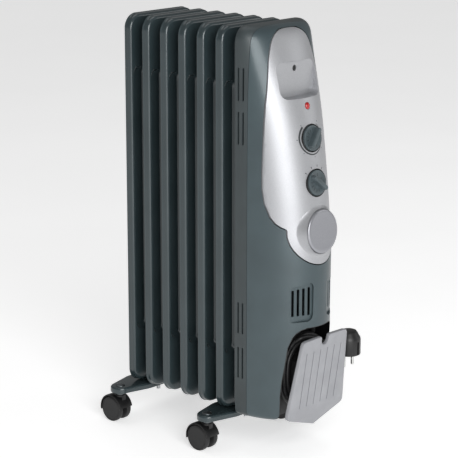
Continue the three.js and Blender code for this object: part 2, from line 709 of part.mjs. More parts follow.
function heatingElement() {
  const face = finLip(0) - FIN_DEPTH - HUB_BOSS_HEIGHT - GAP;
  const flange = turnedY([[0, face - ELEMENT_FLANGE - 4], [12, face - ELEMENT_FLANGE - 4],
    [12, face - ELEMENT_FLANGE], [ELEMENT_FLANGE_RADIUS, face - ELEMENT_FLANGE],
    [ELEMENT_FLANGE_RADIUS, face], [0, face]], 24);
  const s = ELEMENT_ROD_SPREAD;
  const end = face + ELEMENT_LENGTH;
  const loop = tube([[0, face - 2, -s], [0, end - s, -s], [0, end - 0.3 * s, -0.7 * s], [0, end, 0],
    [0, end - 0.3 * s, 0.7 * s], [0, end - s, s], [0, face - 2, s]], ELEMENT_ROD_RADIUS, 20, 3);
  const body = solid(flange).add(solid(loop));
  const mesh = named('heating_element', body, 0x8c8a86, 0.4, 0.9);
  mesh.position.z = HUB_LOW_Z;
  return mesh;
}

function terminalBlock() {
  const [w, d, h] = TERMINAL_SIZE;
  const back = SHIELD_Y - GAP;
  const screws = [-1, 0, 1].map((i) => {
    const recess = turnedY(rod(3, back - d - 1, back - d + 4), 12);
    return solid(at(recess, i * w / 3.4, 0, TERMINAL_Z));
  });
  const body = solid(block(-w / 2, w / 2, back - d, back, TERMINAL_Z - h / 2, TERMINAL_Z + h / 2));
  return named('terminal_block', cut(body, screws), 0xe8e4d8, 0.5, 0);
}

function thermalCutout() {
  const back = SHIELD_Y - GAP;
  const r = CUTOUT_RADIUS;
  const profile = [[0, back - CUTOUT_HEIGHT], [r - 3, back - CUTOUT_HEIGHT], [r - 3, back - 4], [r, back - 4],
    [r, back], [0, back]];
  return named('thermal_cutout', solid(at(turnedY(profile, 20), 0, 0, CUTOUT_Z)), 0x3a3430, 0.5, 0.2);
}

function wiringLoom() {
  const y = SHIELD_Y - 22;
  const start = TERMINAL_Z + TERMINAL_SIZE[2] / 2 + GAP;
  const end = SELECTOR_Z - CONTROL_BODY_SIZE / 2 - 6;
  const points = [[0, SHIELD_Y - 9, start], [0, SHIELD_Y - 10, start + 12], [3, y, start + 40],
    [-3, y - 8, (start + end) / 2], [4, y - 14, end - 25], [0, y - 16, end]];
  return named('wiring_loom', solid(tube(points, LOOM_RADIUS, 16, 3)), 0x6b6b6b, 0.7, 0);
}

// ---- cord, winder and plate ---------------------------------------------------------
const COIL_INNER = WINDER_RADIUS + GAP;
const COIL_OUTER = COIL_INNER + COIL_LAYERS * CORD_DIAMETER;
const COIL_BACK = RECESS_FLOOR - COIL_OFF_FLOOR;
const COIL_FRONT = COIL_BACK - COIL_ROWS * CORD_DIAMETER;

function stadium(radius) {
  const shape = new THREE.Shape();
  shape.absarc(0, WINDER_Z + WINDER_STRAIGHT, radius, 0, Math.PI);
  shape.absarc(0, WINDER_Z - WINDER_STRAIGHT, radius, Math.PI, 2 * Math.PI);
  return shape;
}

// The plane of the plate: positive offset is towards the housing.
function onPlate(geometry) {
  geometry.translate(0, 0, -PLATE_PIVOT_Z);
  geometry.rotateX(rad(PLATE_TILT));
  return at(geometry, 0, PLATE_Y, PLATE_PIVOT_Z);
}

function winderHub() {
  const reach = solid(prismY(stadium(WINDER_RADIUS), -BEYOND, RECESS_FLOOR - GAP));
  const plateBack = block(-BEYOND, BEYOND, -BEYOND * 2, PLATE_THICKNESS / 2 + GAP, -BEYOND, BEYOND * 2);
  const inside = solid(prismY(stadium(WINDER_RADIUS - 3), -BEYOND, RECESS_FLOOR - 4));
  return named('winder_hub', reach.subtract(solid(onPlate(plateBack))).subtract(inside), 0x1c1c1d, 0.6, 0);
}

function plateOutline() {
  const c = PLATE_CORNER;
  const n = PLATE_NOTCH_RADIUS;
  const top = PLATE_TOP;
  const notchZ = top - PLATE_NOTCH_DEPTH + n;
  const shape = new THREE.Shape();
  shape.moveTo(0, PLATE_TIP_Z);
  shape.lineTo(PLATE_HIP - c, PLATE_HIP_Z - 6);
  shape.quadraticCurveTo(PLATE_HIP + 1, PLATE_HIP_Z - 2, PLATE_HIP, PLATE_HIP_Z + c);
  shape.lineTo(PLATE_SHOULDER + 1, top - c);
  shape.quadraticCurveTo(PLATE_SHOULDER, top, PLATE_SHOULDER - c, top);
  shape.lineTo(n + 3, top);
  shape.quadraticCurveTo(n, top, n, notchZ);
  shape.absarc(0, notchZ, n, 0, Math.PI, true);
  shape.quadraticCurveTo(-n, top, -n - 3, top);
  shape.lineTo(-PLATE_SHOULDER + c, top);
  shape.quadraticCurveTo(-PLATE_SHOULDER, top, -PLATE_SHOULDER - 1, top - c);
  shape.lineTo(-PLATE_HIP, PLATE_HIP_Z + c);
  shape.quadraticCurveTo(-PLATE_HIP - 1, PLATE_HIP_Z - 2, -PLATE_HIP + c, PLATE_HIP_Z - 6);
  return shape;
}

function winderPlate() {
  const half = PLATE_THICKNESS / 2;
  const grooves = Array.from({ length: PLATE_GROOVES }, (_, i) => {
    const x = THREE.MathUtils.lerp(-PLATE_GROOVE_SPAN, PLATE_GROOVE_SPAN, i / (PLATE_GROOVES - 1));
    const w = PLATE_GROOVE_WIDTH / 2;
    const floor = -half + PLATE_GROOVE_DEPTH;
    return solid(onPlate(block(x - w, x + w, -half - 1, floor, PLATE_GROOVE_BOTTOM, PLATE_GROOVE_TOP)));
  });
  const body = solid(onPlate(prismY(plateOutline(), -half, half, 0, 5)));
  return named('winder_plate', cut(body, grooves), 0xb5b6b9, 0.5, 0.25);
}

function cordCoil() {
  const ring = solid(prismY(stadium(COIL_OUTER), COIL_FRONT, COIL_BACK));
  const inside = solid(prismY(stadium(COIL_INNER), COIL_FRONT - 1, COIL_BACK + 1));
  return named('supply_cord_coil', ring.subtract(inside), 0x191919, 0.6, 0);
}

function cordGland() {
  const cord = CORD_DIAMETER / 2;
  const profile = [[0, RECESS_TOP + HOUSING_WALL + 3], [GLAND_NECK, RECESS_TOP + HOUSING_WALL + 3],
    [GLAND_NECK, GLAND_Z], [GLAND_FLANGE, GLAND_Z], [GLAND_FLANGE, GLAND_Z - 3], [cord + 1.5, GLAND_Z - 4],
    [cord + 0.6, GLAND_Z - GLAND_LENGTH], [0, GLAND_Z - GLAND_LENGTH]];
  return named('cord_gland', solid(at(turnedZ(profile), GLAND_X, GLAND_Y, 0)), 0x161616, 0.6, 0);
}

function cordTail() {
  const tail = tube(TAIL_ROUTE, CORD_DIAMETER / 2 - 0.05, 10, 5);
  return named('supply_cord_tail', solid(tail), 0x191919, 0.6, 0);
}

function plug() {
  const r = PLUG_RADIUS;
  const z = PLUG_FACE_Z;
  const top = z + PLUG_HEIGHT;
  const profile = [[0, z], [r - 1, z], [r, z + 1], [r, z + 24], [r - 1.5, z + 27],
    [r - 5, top - 4], [r - 9, top], [0, top]];
  const sleeveStart = PLUG_SLEEVE_END - PLUG_X;
  const cord = CORD_DIAMETER / 2;
  const sleeve = turnedX([[0, sleeveStart], [cord + 0.8, sleeveStart], [cord + 2, -r], [cord + 4, -r + 4],
    [0, -r + 4]], 12);
  let body = solid(at(turnedZ(profile, 20), PLUG_X, PLUG_Y, 0));
  body = body.add(solid(at(sleeve, PLUG_X, PLUG_Y, PLUG_SLEEVE_Z)));
  for (const side of [-1, 1]) {
    const groove = block(-2.5, 2.5, side * r - 2, side * r + 2, z - 1, z + 22);
    body = body.subtract(solid(at(groove, PLUG_X, PLUG_Y, 0)));
    const hole = turnedZ(rod(PIN_RADIUS + GAP, z - 1, z + 12), 12);
    body = body.subtract(solid(at(hole, PLUG_X + side * PIN_SPREAD, PLUG_Y, 0)));
  }
  return named('plug_body', body, 0x1b1b1b, 0.55, 0);
}

function plugPin(name, side) {
  const z = PLUG_FACE_Z;
  const r = PIN_RADIUS;
  const tip = z - PIN_LENGTH;
  const root = z + 12 - GAP;
  const profile = [[0, tip], [r - 1, tip], [r, tip + 1.5], [r, root], [0, root]];
  const pin = solid(at(turnedZ(profile, 12), PLUG_X + side * PIN_SPREAD, PLUG_Y, 0));
  return named(name, pin, 0xc8c8c8, 0.25, 1);
}

// ---- feet ---------------------------------------------------------------------------
const FOOT_TOP = FIN_BOTTOM - GAP;

function footOutline(inset) {
  const tip = FOOT_HALF_LENGTH - FOOT_TIP_RADIUS;
  const r = FOOT_TIP_RADIUS - inset;
  const w = FOOT_HALF_WIDTH - inset;
  const lean = Math.asin((FOOT_HALF_WIDTH - FOOT_TIP_RADIUS) / (tip - FOOT_WAIST_X));
  const shape = new THREE.Shape();
  shape.moveTo(-FOOT_WAIST_X, -w);
  shape.lineTo(FOOT_WAIST_X, -w);
  shape.absarc(tip, 0, r, -Math.PI / 2 + lean, Math.PI / 2 - lean);
  shape.lineTo(FOOT_WAIST_X, w);
  shape.lineTo(-FOOT_WAIST_X, w);
  shape.absarc(-tip, 0, r, Math.PI / 2 + lean, 1.5 * Math.PI - lean);
  return shape;
}

const footY = (k) => finLip(k) + FOOT_BEHIND_LIP;

function foot(name, k) {
  const y = footY(k);
  const skirt = solid(at(prismZ(footOutline(0), FOOT_TOP - FOOT_DEPTH, FOOT_TOP - FOOT_EDGE), 0, y, 0));
  const crown = solid(at(prismZ(footOutline(FOOT_EDGE / 2), FOOT_TOP - FOOT_EDGE - 0.5, FOOT_TOP), 0, y, 0));
  const inside = prismZ(footOutline(FOOT_SHEET), FOOT_TOP - FOOT_DEPTH - 1, FOOT_TOP - FOOT_SHEET);
  const under = solid(at(inside, 0, y, 0));
  const holes = [];
  for (const side of [-1, 1]) {
    const stem = turnedZ(rod(STEM_RADIUS + GAP, 0, BEYOND), 20);
    holes.push(solid(at(stem, side * CASTER_X, y, 0)));
    const leg = turnedZ(rod(BOLT_RADIUS + GAP, 0, BEYOND), 16);
    holes.push(solid(at(leg, side * boltHalfSpan(), y - BOLT_AHEAD, 0)));
  }
  return named(name, cut(skirt.add(crown), [under, ...holes]), 0x464d4f, 0.45, 0.4);
}

function boltHalfSpan() {
  return HUB_TUBE_RADIUS + BOLT_BEND + BOLT_RADIUS;
}

function uBolt(name, k) {
  const r = boltHalfSpan();
  const route = new THREE.CurvePath();
  const low = BOLT_END_Z - HUB_LOW_Z;
  const points = [[-r, 0, low], [-r, 0, low / 2], [-r, 0, -2]];
  for (let i = 0; i <= 10; i += 1) {
    const angle = Math.PI - (Math.PI * i) / 10;
    points.push([r * Math.cos(angle), 0, r * Math.sin(angle)]);
  }
  points.push([r, 0, -2], [r, 0, low / 2], [r, 0, low]);
  for (let i = 1; i < points.length; i += 1) {
    route.add(new THREE.LineCurve3(new THREE.Vector3(...points[i - 1]), new THREE.Vector3(...points[i])));
  }
  const section = new THREE.Shape();
  section.absarc(0, 0, BOLT_RADIUS, 0, 2 * Math.PI);
  const wire = new THREE.ExtrudeGeometry(section, {
    steps: 20, extrudePath: route, curveSegments: 3, bevelEnabled: false,
  });
  return named(name, solid(at(wire, 0, footY(k) - BOLT_AHEAD, HUB_LOW_Z)), 0xb0b0b0, 0.35, 0.95);
}

function wingNut(name, k, side) {
  const top = FOOT_TOP - FOOT_SHEET - GAP;
  const low = top - NUT_HEIGHT;
  const collar = turnedZ([[0, low], [NUT_RADIUS - 1, low], [NUT_RADIUS, top], [0, top]], 14);
  const wings = block(-NUT_RADIUS - NUT_WING + 2, NUT_RADIUS + NUT_WING - 2, -1.2, 1.2, low - 4, low + 3);
  const bore = turnedZ(rod(BOLT_RADIUS + GAP, low - 5, top + 1), 16);
  const body = solid(collar).add(solid(wings)).subtract(solid(bore));
  const mesh = named(name, body, 0xb0b0b0, 0.35, 0.95);
  mesh.position.set(side * boltHalfSpan(), footY(k) - BOLT_AHEAD, 0);
  return mesh;
}

// ---- casters ------------------------------------------------------------------------
// Each caster is built about its swivel axis, with the wheels trailing towards +Y.
function casterHood(name) {
  const width = CASTER_WEB + 2 * WHEEL_WIDTH;
  const full = solid(turnedX(rod(HOOD_RADIUS, -width / 2, width / 2)));
  const lower = block(-BEYOND, BEYOND, -BEYOND, BEYOND, -BEYOND, 0);
  lower.rotateX(-rad(HOOD_TURN));
  let body = full.subtract(solid(lower));
  const web = turnedX(rod(8, -CASTER_WEB / 2, CASTER_WEB / 2), 12);
  body = body.add(solid(web));
  for (const side of [-1, 1]) {
    const x0 = side * (CASTER_WEB / 2);
    const x1 = side * (width / 2 + 1);
    const pocket = turnedX(rod(WHEEL_RADIUS + 0.8, Math.min(x0, x1), Math.max(x0, x1)));
    body = body.subtract(solid(pocket));
  }
  const boss = turnedZ(rod(STEM_RADIUS + 3.5, 8, HOOD_RADIUS + 1), 16);
  body = body.add(solid(at(boss, 0, -CASTER_TRAIL, 0)).intersect(
    solid(block(-CASTER_WEB / 2, CASTER_WEB / 2, -BEYOND, BEYOND, -BEYOND, HOOD_RADIUS))
      .add(solid(block(-BEYOND, BEYOND, -BEYOND, BEYOND, WHEEL_RADIUS + 0.8, BEYOND)))));
  const socket = turnedZ(rod(STEM_RADIUS - 1.5 + GAP, 10, HOOD_RADIUS + 2), 12);
  const axleHole = turnedX(rod(AXLE_RADIUS + GAP, -width, width), 12);
  body = cut(body, [solid(at(socket, 0, -CASTER_TRAIL, 0)), solid(axleHole)]);
  const mesh = named(name, body, 0x141312, 0.45, 0);
  mesh.position.set(0, CASTER_TRAIL, WHEEL_RADIUS);
  return mesh;
}

function casterStem(name) {
  const thin = STEM_RADIUS - 1.5;
  const base = WHEEL_RADIUS + HOOD_RADIUS + 1 + GAP;
  const low = WHEEL_RADIUS + 10 + GAP;
  const collar = base + STEM_COLLAR - GAP;
  const profile = [[0, low], [thin, low], [thin, base], [STEM_RADIUS + 1.5, base],
    [STEM_RADIUS + 1.5, collar], [STEM_RADIUS, collar], [STEM_RADIUS, STEM_TOP], [0, STEM_TOP]];
  return named(name, solid(turnedZ(profile, 12)), 0xc0c0c0, 0.3, 1);
}

function casterAxle(name) {
  const half = CASTER_WEB / 2 + WHEEL_WIDTH - 1.5;
  const mesh = named(name, solid(turnedX(rod(AXLE_RADIUS, -half, half), 12)), 0xb0b0b0, 0.35, 1);
  mesh.position.set(0, CASTER_TRAIL, WHEEL_RADIUS);
  return mesh;
}

function casterWheel(name, side) {
  const inner = CASTER_WEB / 2 + CASTER_CLEARANCE;
  const outer = CASTER_WEB / 2 + WHEEL_WIDTH;
  const r = WHEEL_RADIUS;
  const bore = AXLE_RADIUS + CASTER_CLEARANCE;
  const profile = [[bore, inner], [r - 1.2, inner], [r, inner + 1.2], [r, outer - 1.5], [r - 1.5, outer],
    [0, outer], [0, outer - 1.2], [bore, outer - 1.2], [bore, inner]];
  const geometry = turnedX(profile.map(([radius, x]) => [radius, side * x]), WHEEL_SIDES);
  geometry.rotateX(Math.PI / WHEEL_SIDES);
  const mesh = named(name, solid(geometry), 0x2e2e2e, 0.6, 0);
  mesh.position.set(0, CASTER_TRAIL, WHEEL_RADIUS);
  return mesh;
}

function caster(corner, x, k) {
  const group = new THREE.Group();
  const outward = Math.sign(x);
  group.add(casterHood(`${corner}_caster_hood`));
  group.add(casterStem(`${corner}_caster_stem`));
  group.add(casterAxle(`${corner}_caster_axle`));
  group.add(casterWheel(`${corner}_wheel_outer`, outward));
  group.add(casterWheel(`${corner}_wheel_inner`, -outward));
  group.position.set(x, footY(k), 0);
  return group;
}

// ---- assembly -----------------------------------------------------------------------
const heater = new THREE.Group();
const cordSet = new THREE.Group();

for (let k = FIN_COUNT - 1; k >= 0; k -= 1) heater.add(fin(k));
heater.add(heatingElement(), heatShield(), housingRearFrame(), housingCover());
heater.add(fascia(), gripScrew(), badgeDisc());
heater.add(lampLens(), controlBracket());
heater.add(knob('thermostat_knob', THERMOSTAT_Z, THERMOSTAT_POINTER));
heater.add(controlBody('thermostat_body', THERMOSTAT_Z, 0xd8d2c4));
heater.add(knob('selector_knob', SELECTOR_Z, SELECTOR_POINTER));
heater.add(controlBody('selector_switch', SELECTOR_Z, 0x2a2a2c));
heater.add(terminalBlock(), thermalCutout(), wiringLoom(), winderHub(), winderPlate());
for (const [name, k] of [['front', FOOT_FINS[0]], ['rear', FOOT_FINS[1]]]) {
  heater.add(foot(`${name}_foot`, k), uBolt(`${name}_u_bolt`, k));
  for (const [sideName, side] of [['left', -1], ['right', 1]]) {
    heater.add(wingNut(`${name}_${sideName}_wing_nut`, k, side));
    heater.add(caster(`${name}_${sideName}`, side * CASTER_X, k));
  }
}
cordSet.add(cordGland(), cordCoil(), cordTail(), plug());
cordSet.add(plugPin('plug_pin_left', -1), plugPin('plug_pin_right', 1));

// The origin is the bottom centre of the body, measured without the cord and its plug.
const bounds = new THREE.Box3().setFromObject(heater);
const middle = bounds.getCenter(new THREE.Vector3());
const radiator = new THREE.Group();
radiator.add(heater, cordSet);
radiator.position.set(-middle.x, -middle.y, -bounds.min.z);
radiator.updateMatrixWorld(true);

export default radiator;
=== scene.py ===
"""Oil filled radiator heater: the detailed pieces, laid out as a Blender add-on."""

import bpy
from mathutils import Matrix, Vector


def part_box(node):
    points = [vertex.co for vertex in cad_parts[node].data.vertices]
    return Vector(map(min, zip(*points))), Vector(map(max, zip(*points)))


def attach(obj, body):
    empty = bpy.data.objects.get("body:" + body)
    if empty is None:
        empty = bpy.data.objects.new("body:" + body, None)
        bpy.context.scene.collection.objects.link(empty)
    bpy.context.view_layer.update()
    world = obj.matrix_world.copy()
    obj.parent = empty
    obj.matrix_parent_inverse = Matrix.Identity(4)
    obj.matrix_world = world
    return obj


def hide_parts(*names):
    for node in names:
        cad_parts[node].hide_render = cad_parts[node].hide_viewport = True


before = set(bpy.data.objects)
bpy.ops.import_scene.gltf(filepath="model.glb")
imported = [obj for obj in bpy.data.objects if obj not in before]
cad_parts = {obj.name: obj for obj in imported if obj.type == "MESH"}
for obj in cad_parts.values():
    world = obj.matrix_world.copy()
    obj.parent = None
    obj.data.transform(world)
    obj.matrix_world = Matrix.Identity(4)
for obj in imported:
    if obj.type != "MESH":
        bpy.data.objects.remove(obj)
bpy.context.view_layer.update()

import math

import bmesh
import bpy
from mathutils import Matrix, Vector

bl_info = {
    "name": "Radiator Heater Builder",
    "version": (1, 0, 0),
    "blender": (4, 5, 0),
    "location": "View3D > Sidebar > Heater",
    "description": "Builds the detailed pieces of an oil filled radiator heater on its packed frame",
    "category": "Object",
}

BODY = "radiator"
CORNERS = ("front_left", "front_right", "rear_left", "rear_right")

# Sizes are in millimetres, with y = 0 at the foremost fin's rear lip and z = 0 on the floor.
HOUSING_REAR = -4.5  # the housing's back face
HOUSING_LOW, HOUSING_HIGH = 60, 631
HOUSING_HALF = 73.0  # half the housing's width, away from its corners
TOP_CORNER, LOW_CORNER = 20, 11  # radii of the housing's corners, seen from the front
NOSE_BASE = -8.2  # where the housing's curved nose springs from
SPLIT = -25.2  # where the rear frame and the cover meet
RECESS_FLOOR, GRIP_FLOOR = -53.2, -50.2
REACH = 300  # far enough for a cutter to pass right through
_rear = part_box("housing_rear_frame")
SHIFT = Vector((0.0, _rear[1][1] * 1000 - HOUSING_REAR, _rear[0][2] * 1000 - HOUSING_LOW))
NOSE_PROFILE = [
    (60, 84), (62, 88.6), (66, 92.4), (72, 94.6), (85, 95.3), (200, 96), (300, 96.5), (322, 95.9),
    (350, 92.7), (393, 88), (438, 81.6), (494, 72.5), (538, 61.5), (583, 47), (604, 40), (615, 35.4),
    (622, 31.2), (627, 25.5), (629.8, 18.5), (631, 8),
]
PANEL_TILT = math.atan2(9.67, 63.0)
THERMOSTAT_Z, SELECTOR_Z, LAMP_Z, BADGE_Z = 473.0, 410.0, 518.0, 341.0
HUB_Z = (118.0, 568.0)
FIN_PITCH = 36.8
FOOT_FINS = {"front": 1, "rear": 6}  # the fins that the feet stand under, counted from the front
FOOT_AHEAD = 2  # a foot's middle from its fin
STEM_X = 91.5
CASTER_TRAIL, AXLE_Z = 9, 20
PLUG_X, PLUG_Y, PLUG_FACE_Z, PLUG_SLEEVE_Z = 77, -94.2, 138, 158
PLUG_RADIUS = 18


# ---- small tools ---------------------------------------------------------------------
def colour(code):
    """The linear colour of an sRGB hex value."""
    parts = [int(code[i : i + 2], 16) / 255 for i in (1, 3, 5)]
    linear = [c / 12.92 if c <= 0.04045 else ((c + 0.055) / 1.055) ** 2.4 for c in parts]
    return (*linear, 1.0)


def place(point):
    """A millimetre point as metres in the row frame."""
    return (Vector(point) + SHIFT) / 1000


def build(name, verts, faces, merge=True):
    """A mesh object from millimetre points, closed and facing out."""
    mesh = bpy.data.meshes.new(name)
    mesh.from_pydata([place(v) for v in verts], [], faces)
    obj = bpy.data.objects.new(name, mesh)
    bpy.context.scene.collection.objects.link(obj)
    if merge:
        tidy(obj)
    return obj


def tidy(obj, reach=2e-6):
    """Merges doubles and turns every face outwards."""
    bm = bmesh.new()
    bm.from_mesh(obj.data)
    bmesh.ops.remove_doubles(bm, verts=bm.verts, dist=reach)
    bmesh.ops.recalc_face_normals(bm, faces=bm.faces)
    bm.to_mesh(obj.data)
    bm.free()


def shade(obj, angle=32):
    """Smooth shading, with edges above the angle kept sharp."""
    obj.data.polygons.foreach_set("use_smooth", [True] * len(obj.data.polygons))
    obj.data.set_sharp_from_angle(angle=math.radians(angle))


def bake(obj):
    """Turns the object with its modifiers into a plain mesh."""
    graph = bpy.context.evaluated_depsgraph_get()
    mesh = bpy.data.meshes.new_from_object(obj.evaluated_get(graph))
    obj.modifiers.clear()
    obj.data = mesh
    return obj


def combine(obj, others, operation):
    """Adds, cuts or keeps what is common with other closed solids, which are used up."""
    for other in others:
        step = obj.modifiers.new("step", "BOOLEAN")
        step.operation = operation
        step.solver = "MANIFOLD"
        step.object = other
    bake(obj)
    for other in others:
        bpy.data.objects.remove(other)
    return obj


def join(name, objects):
    """One object from several loose ones."""
    bm = bmesh.new()
    for obj in objects:
        bm.from_mesh(obj.data)
        bpy.data.objects.remove(obj)
    mesh = bpy.data.meshes.new(name)
    bm.to_mesh(mesh)
    bm.free()
    joined = bpy.data.objects.new(name, mesh)
    bpy.context.scene.collection.objects.link(joined)
    return joined


def loft(name, rings, closed=True):
    """A skin over rings of equal length, with its first and last ring filled."""
    around = len(rings[0])
    verts = [p for ring in rings for p in ring]
    faces = []
    for r in range(len(rings) - 1):
        for i in range(around):
            j = (i + 1) % around
            faces.append((r * around + i, r * around + j, (r + 1) * around + j, (r + 1) * around + i))
    if closed:
        faces.append(tuple(range(around)))
        last = (len(rings) - 1) * around
        faces.append(tuple(last + i for i in range(around)))
    return build(name, verts, faces)


def lathe(name, profile, matrix, segments=64):
    """A turned piece about its own -Y axis; profile points are (radius, y) from axis to axis."""
    rings = []
    for radius, y in profile:
        ring = []
        for i in range(segments):
            angle = 2 * math.pi * i / segments
            reach = max(radius, 0.001)
            ring.append(matrix @ Vector((reach * math.cos(angle), y, reach * math.sin(angle))))
        rings.append(ring)
    return loft(name, rings)


def offset(points, inset):
    """An outline moved inwards; its points run anticlockwise."""
    moved = []
    count = len(points)
    for i, (x, z) in enumerate(points):
        ax, az = points[i - 1]
        bx, bz = points[(i + 1) % count]
        tx, tz = bx - ax, bz - az
        length = math.hypot(tx, tz) or 1.0
        moved.append((x - inset * tz / length, z + inset * tx / length))
    return moved


def slab(name, outline, levels, matrix=Matrix()):
    """A plate with worked edges: levels are (inset, y) from its front to its back."""
    rings = [[matrix @ Vector((x, y, z)) for x, z in offset(outline, inset)] for inset, y in levels]
    return loft(name, rings)


def rounded_rect(half_x, z0, z1, radius, steps=8):
    """A rectangle about x = 0 with round corners, anticlockwise."""
    points = []
    corners = ((half_x - radius, z0 + radius, -90), (half_x - radius, z1 - radius, 0),
               (radius - half_x, z1 - radius, 90), (radius - half_x, z0 + radius, 180))
    for x, z, start in corners:
        for i in range(steps + 1):
            angle = math.radians(start + 90 * i / steps)
            points.append((x + radius * math.cos(angle), z + radius * math.sin(angle)))
    return points


def smooth_outline(points, per_span=6):
    """A closed outline through the given points, rounded by a Catmull-Rom curve."""
    out = []
    count = len(points)
    for i in range(count):
        p0, p1, p2, p3 = (Vector(points[(i + k) % count]) for k in (-1, 0, 1, 2))
        for s in range(per_span):
            t = s / per_span
            q = 0.5 * (2 * p1 + (p2 - p0) * t + (2 * p0 - 5 * p1 + 4 * p2 - p3) * t * t
                       + (3 * p1 - p0 - 3 * p2 + p3) * t**3)
            out.append((q.x, q.y))
    return out


def box(name, x0, x1, y0, y1, z0, z1):
    """A plain closed block, used for cutting only."""
    return loft(name, [[(x0, y, z0), (x1, y, z0), (x1, y, z1), (x0, y, z1)] for y in (y0, y1)])


def spread(name, obj, count, step, material=None):
    """Geometry Nodes: copies a mesh along a straight line of points and realises the copies."""
    tree = bpy.data.node_groups.new(name, "GeometryNodeTree")
    tree.interface.new_socket("Geometry", in_out="INPUT", socket_type="NodeSocketGeometry")
    count_in = tree.interface.new_socket("Copies", in_out="INPUT", socket_type="NodeSocketInt")
    step_in = tree.interface.new_socket("Step", in_out="INPUT", socket_type="NodeSocketVector")
    tree.interface.new_socket("Geometry", in_out="OUTPUT", socket_type="NodeSocketGeometry")
    given = tree.nodes.new("NodeGroupInput")
    result = tree.nodes.new("NodeGroupOutput")
    line = add_node(tree, "GeometryNodeMeshLine", {"mode": "OFFSET"},
                    {"Count": given.outputs["Copies"], "Offset": given.outputs["Step"]})
    copies = add_node(tree, "GeometryNodeInstanceOnPoints", {},
                      {"Points": line.outputs["Mesh"], "Instance": given.outputs["Geometry"]})
    real = add_node(tree, "GeometryNodeRealizeInstances", {}, {"Geometry": copies.outputs["Instances"]})
    painted = add_node(tree, "GeometryNodeSetMaterial", {}, {"Geometry": real.outputs["Geometry"]})
    painted.inputs["Material"].default_value = material
    tree.links.new(painted.outputs["Geometry"], result.inputs[0])
    modifier = obj.modifiers.new(name, "NODES")
    modifier.node_group = tree
    modifier[count_in.identifier] = count
    modifier[step_in.identifier] = Vector(step) / 1000
    return bake(obj)


def add_node(tree, kind, settings, links):
    """Adds a node; settings name attributes or sockets, links map a socket to a value or an output."""
    made = tree.nodes.new(kind)
    for key, value in settings.items():
        setattr(made, key, value)
    for key, value in links.items():
        if isinstance(value, bpy.types.NodeSocket):
            tree.links.new(value, made.inputs[key])
        else:
            made.inputs[key].default_value = value
    return made


def finished(obj, body, nodes, material):
    """Gives a piece its finish, says what it rides on and hides the pieces of model.glb that it stands for.
    """
    obj.data.materials.clear()
    obj.data.materials.append(material)
    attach(obj, body)
    if nodes:
        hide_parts(*nodes)
    return obj


# ---- finishes ------------------------------------------------------------------------
def surface(name, light, dark, mottle_mm, grain_mm, bump, rough, metallic=0.0, coat=0.0, ior=1.5):
    """A finish with mottled colour, worn roughness and a fine surface grain, in real sizes."""
    made = bpy.data.materials.new(name)
    made.use_nodes = True
    tree = made.node_tree
    shader = tree.nodes["Principled BSDF"]
    shader.inputs["Metallic"].default_value = metallic
    shader.inputs["Coat Weight"].default_value = coat
    shader.inputs["Coat Roughness"].default_value = 0.12
    if metallic == 0.0:
        shader.inputs["IOR"].default_value = ior
    coords = tree.nodes.new("ShaderNodeTexCoord")
    mottle = add_node(tree, "ShaderNodeTexNoise", {},
                      {"Vector": coords.outputs["Object"], "Scale": 1000 / mottle_mm, "Detail": 3.0})
    ramp = add_node(tree, "ShaderNodeValToRGB", {}, {"Fac": mottle.outputs["Fac"]})
    ramp.color_ramp.elements[0].position = 0.35
    ramp.color_ramp.elements[0].color = colour(dark)
    ramp.color_ramp.elements[1].position = 0.65
    ramp.color_ramp.elements[1].color = colour(light)
    tree.links.new(ramp.outputs["Color"], shader.inputs["Base Color"])
    wear = add_node(tree, "ShaderNodeTexNoise", {},
                    {"Vector": coords.outputs["Object"], "Scale": 2500 / mottle_mm, "Detail": 5.0})
    spread_rough = add_node(tree, "ShaderNodeMapRange", {},
                            {"Value": wear.outputs["Fac"], "To Min": rough[0], "To Max": rough[1]})
    tree.links.new(spread_rough.outputs["Result"], shader.inputs["Roughness"])
    grain = add_node(tree, "ShaderNodeTexNoise", {},
                     {"Vector": coords.outputs["Object"], "Scale": 1000 / grain_mm, "Detail": 2.0})
    relief = add_node(tree, "ShaderNodeBump", {},
                      {"Height": grain.outputs["Fac"], "Strength": bump, "Distance": 0.0002})
    tree.links.new(relief.outputs["Normal"], shader.inputs["Normal"])
    return made


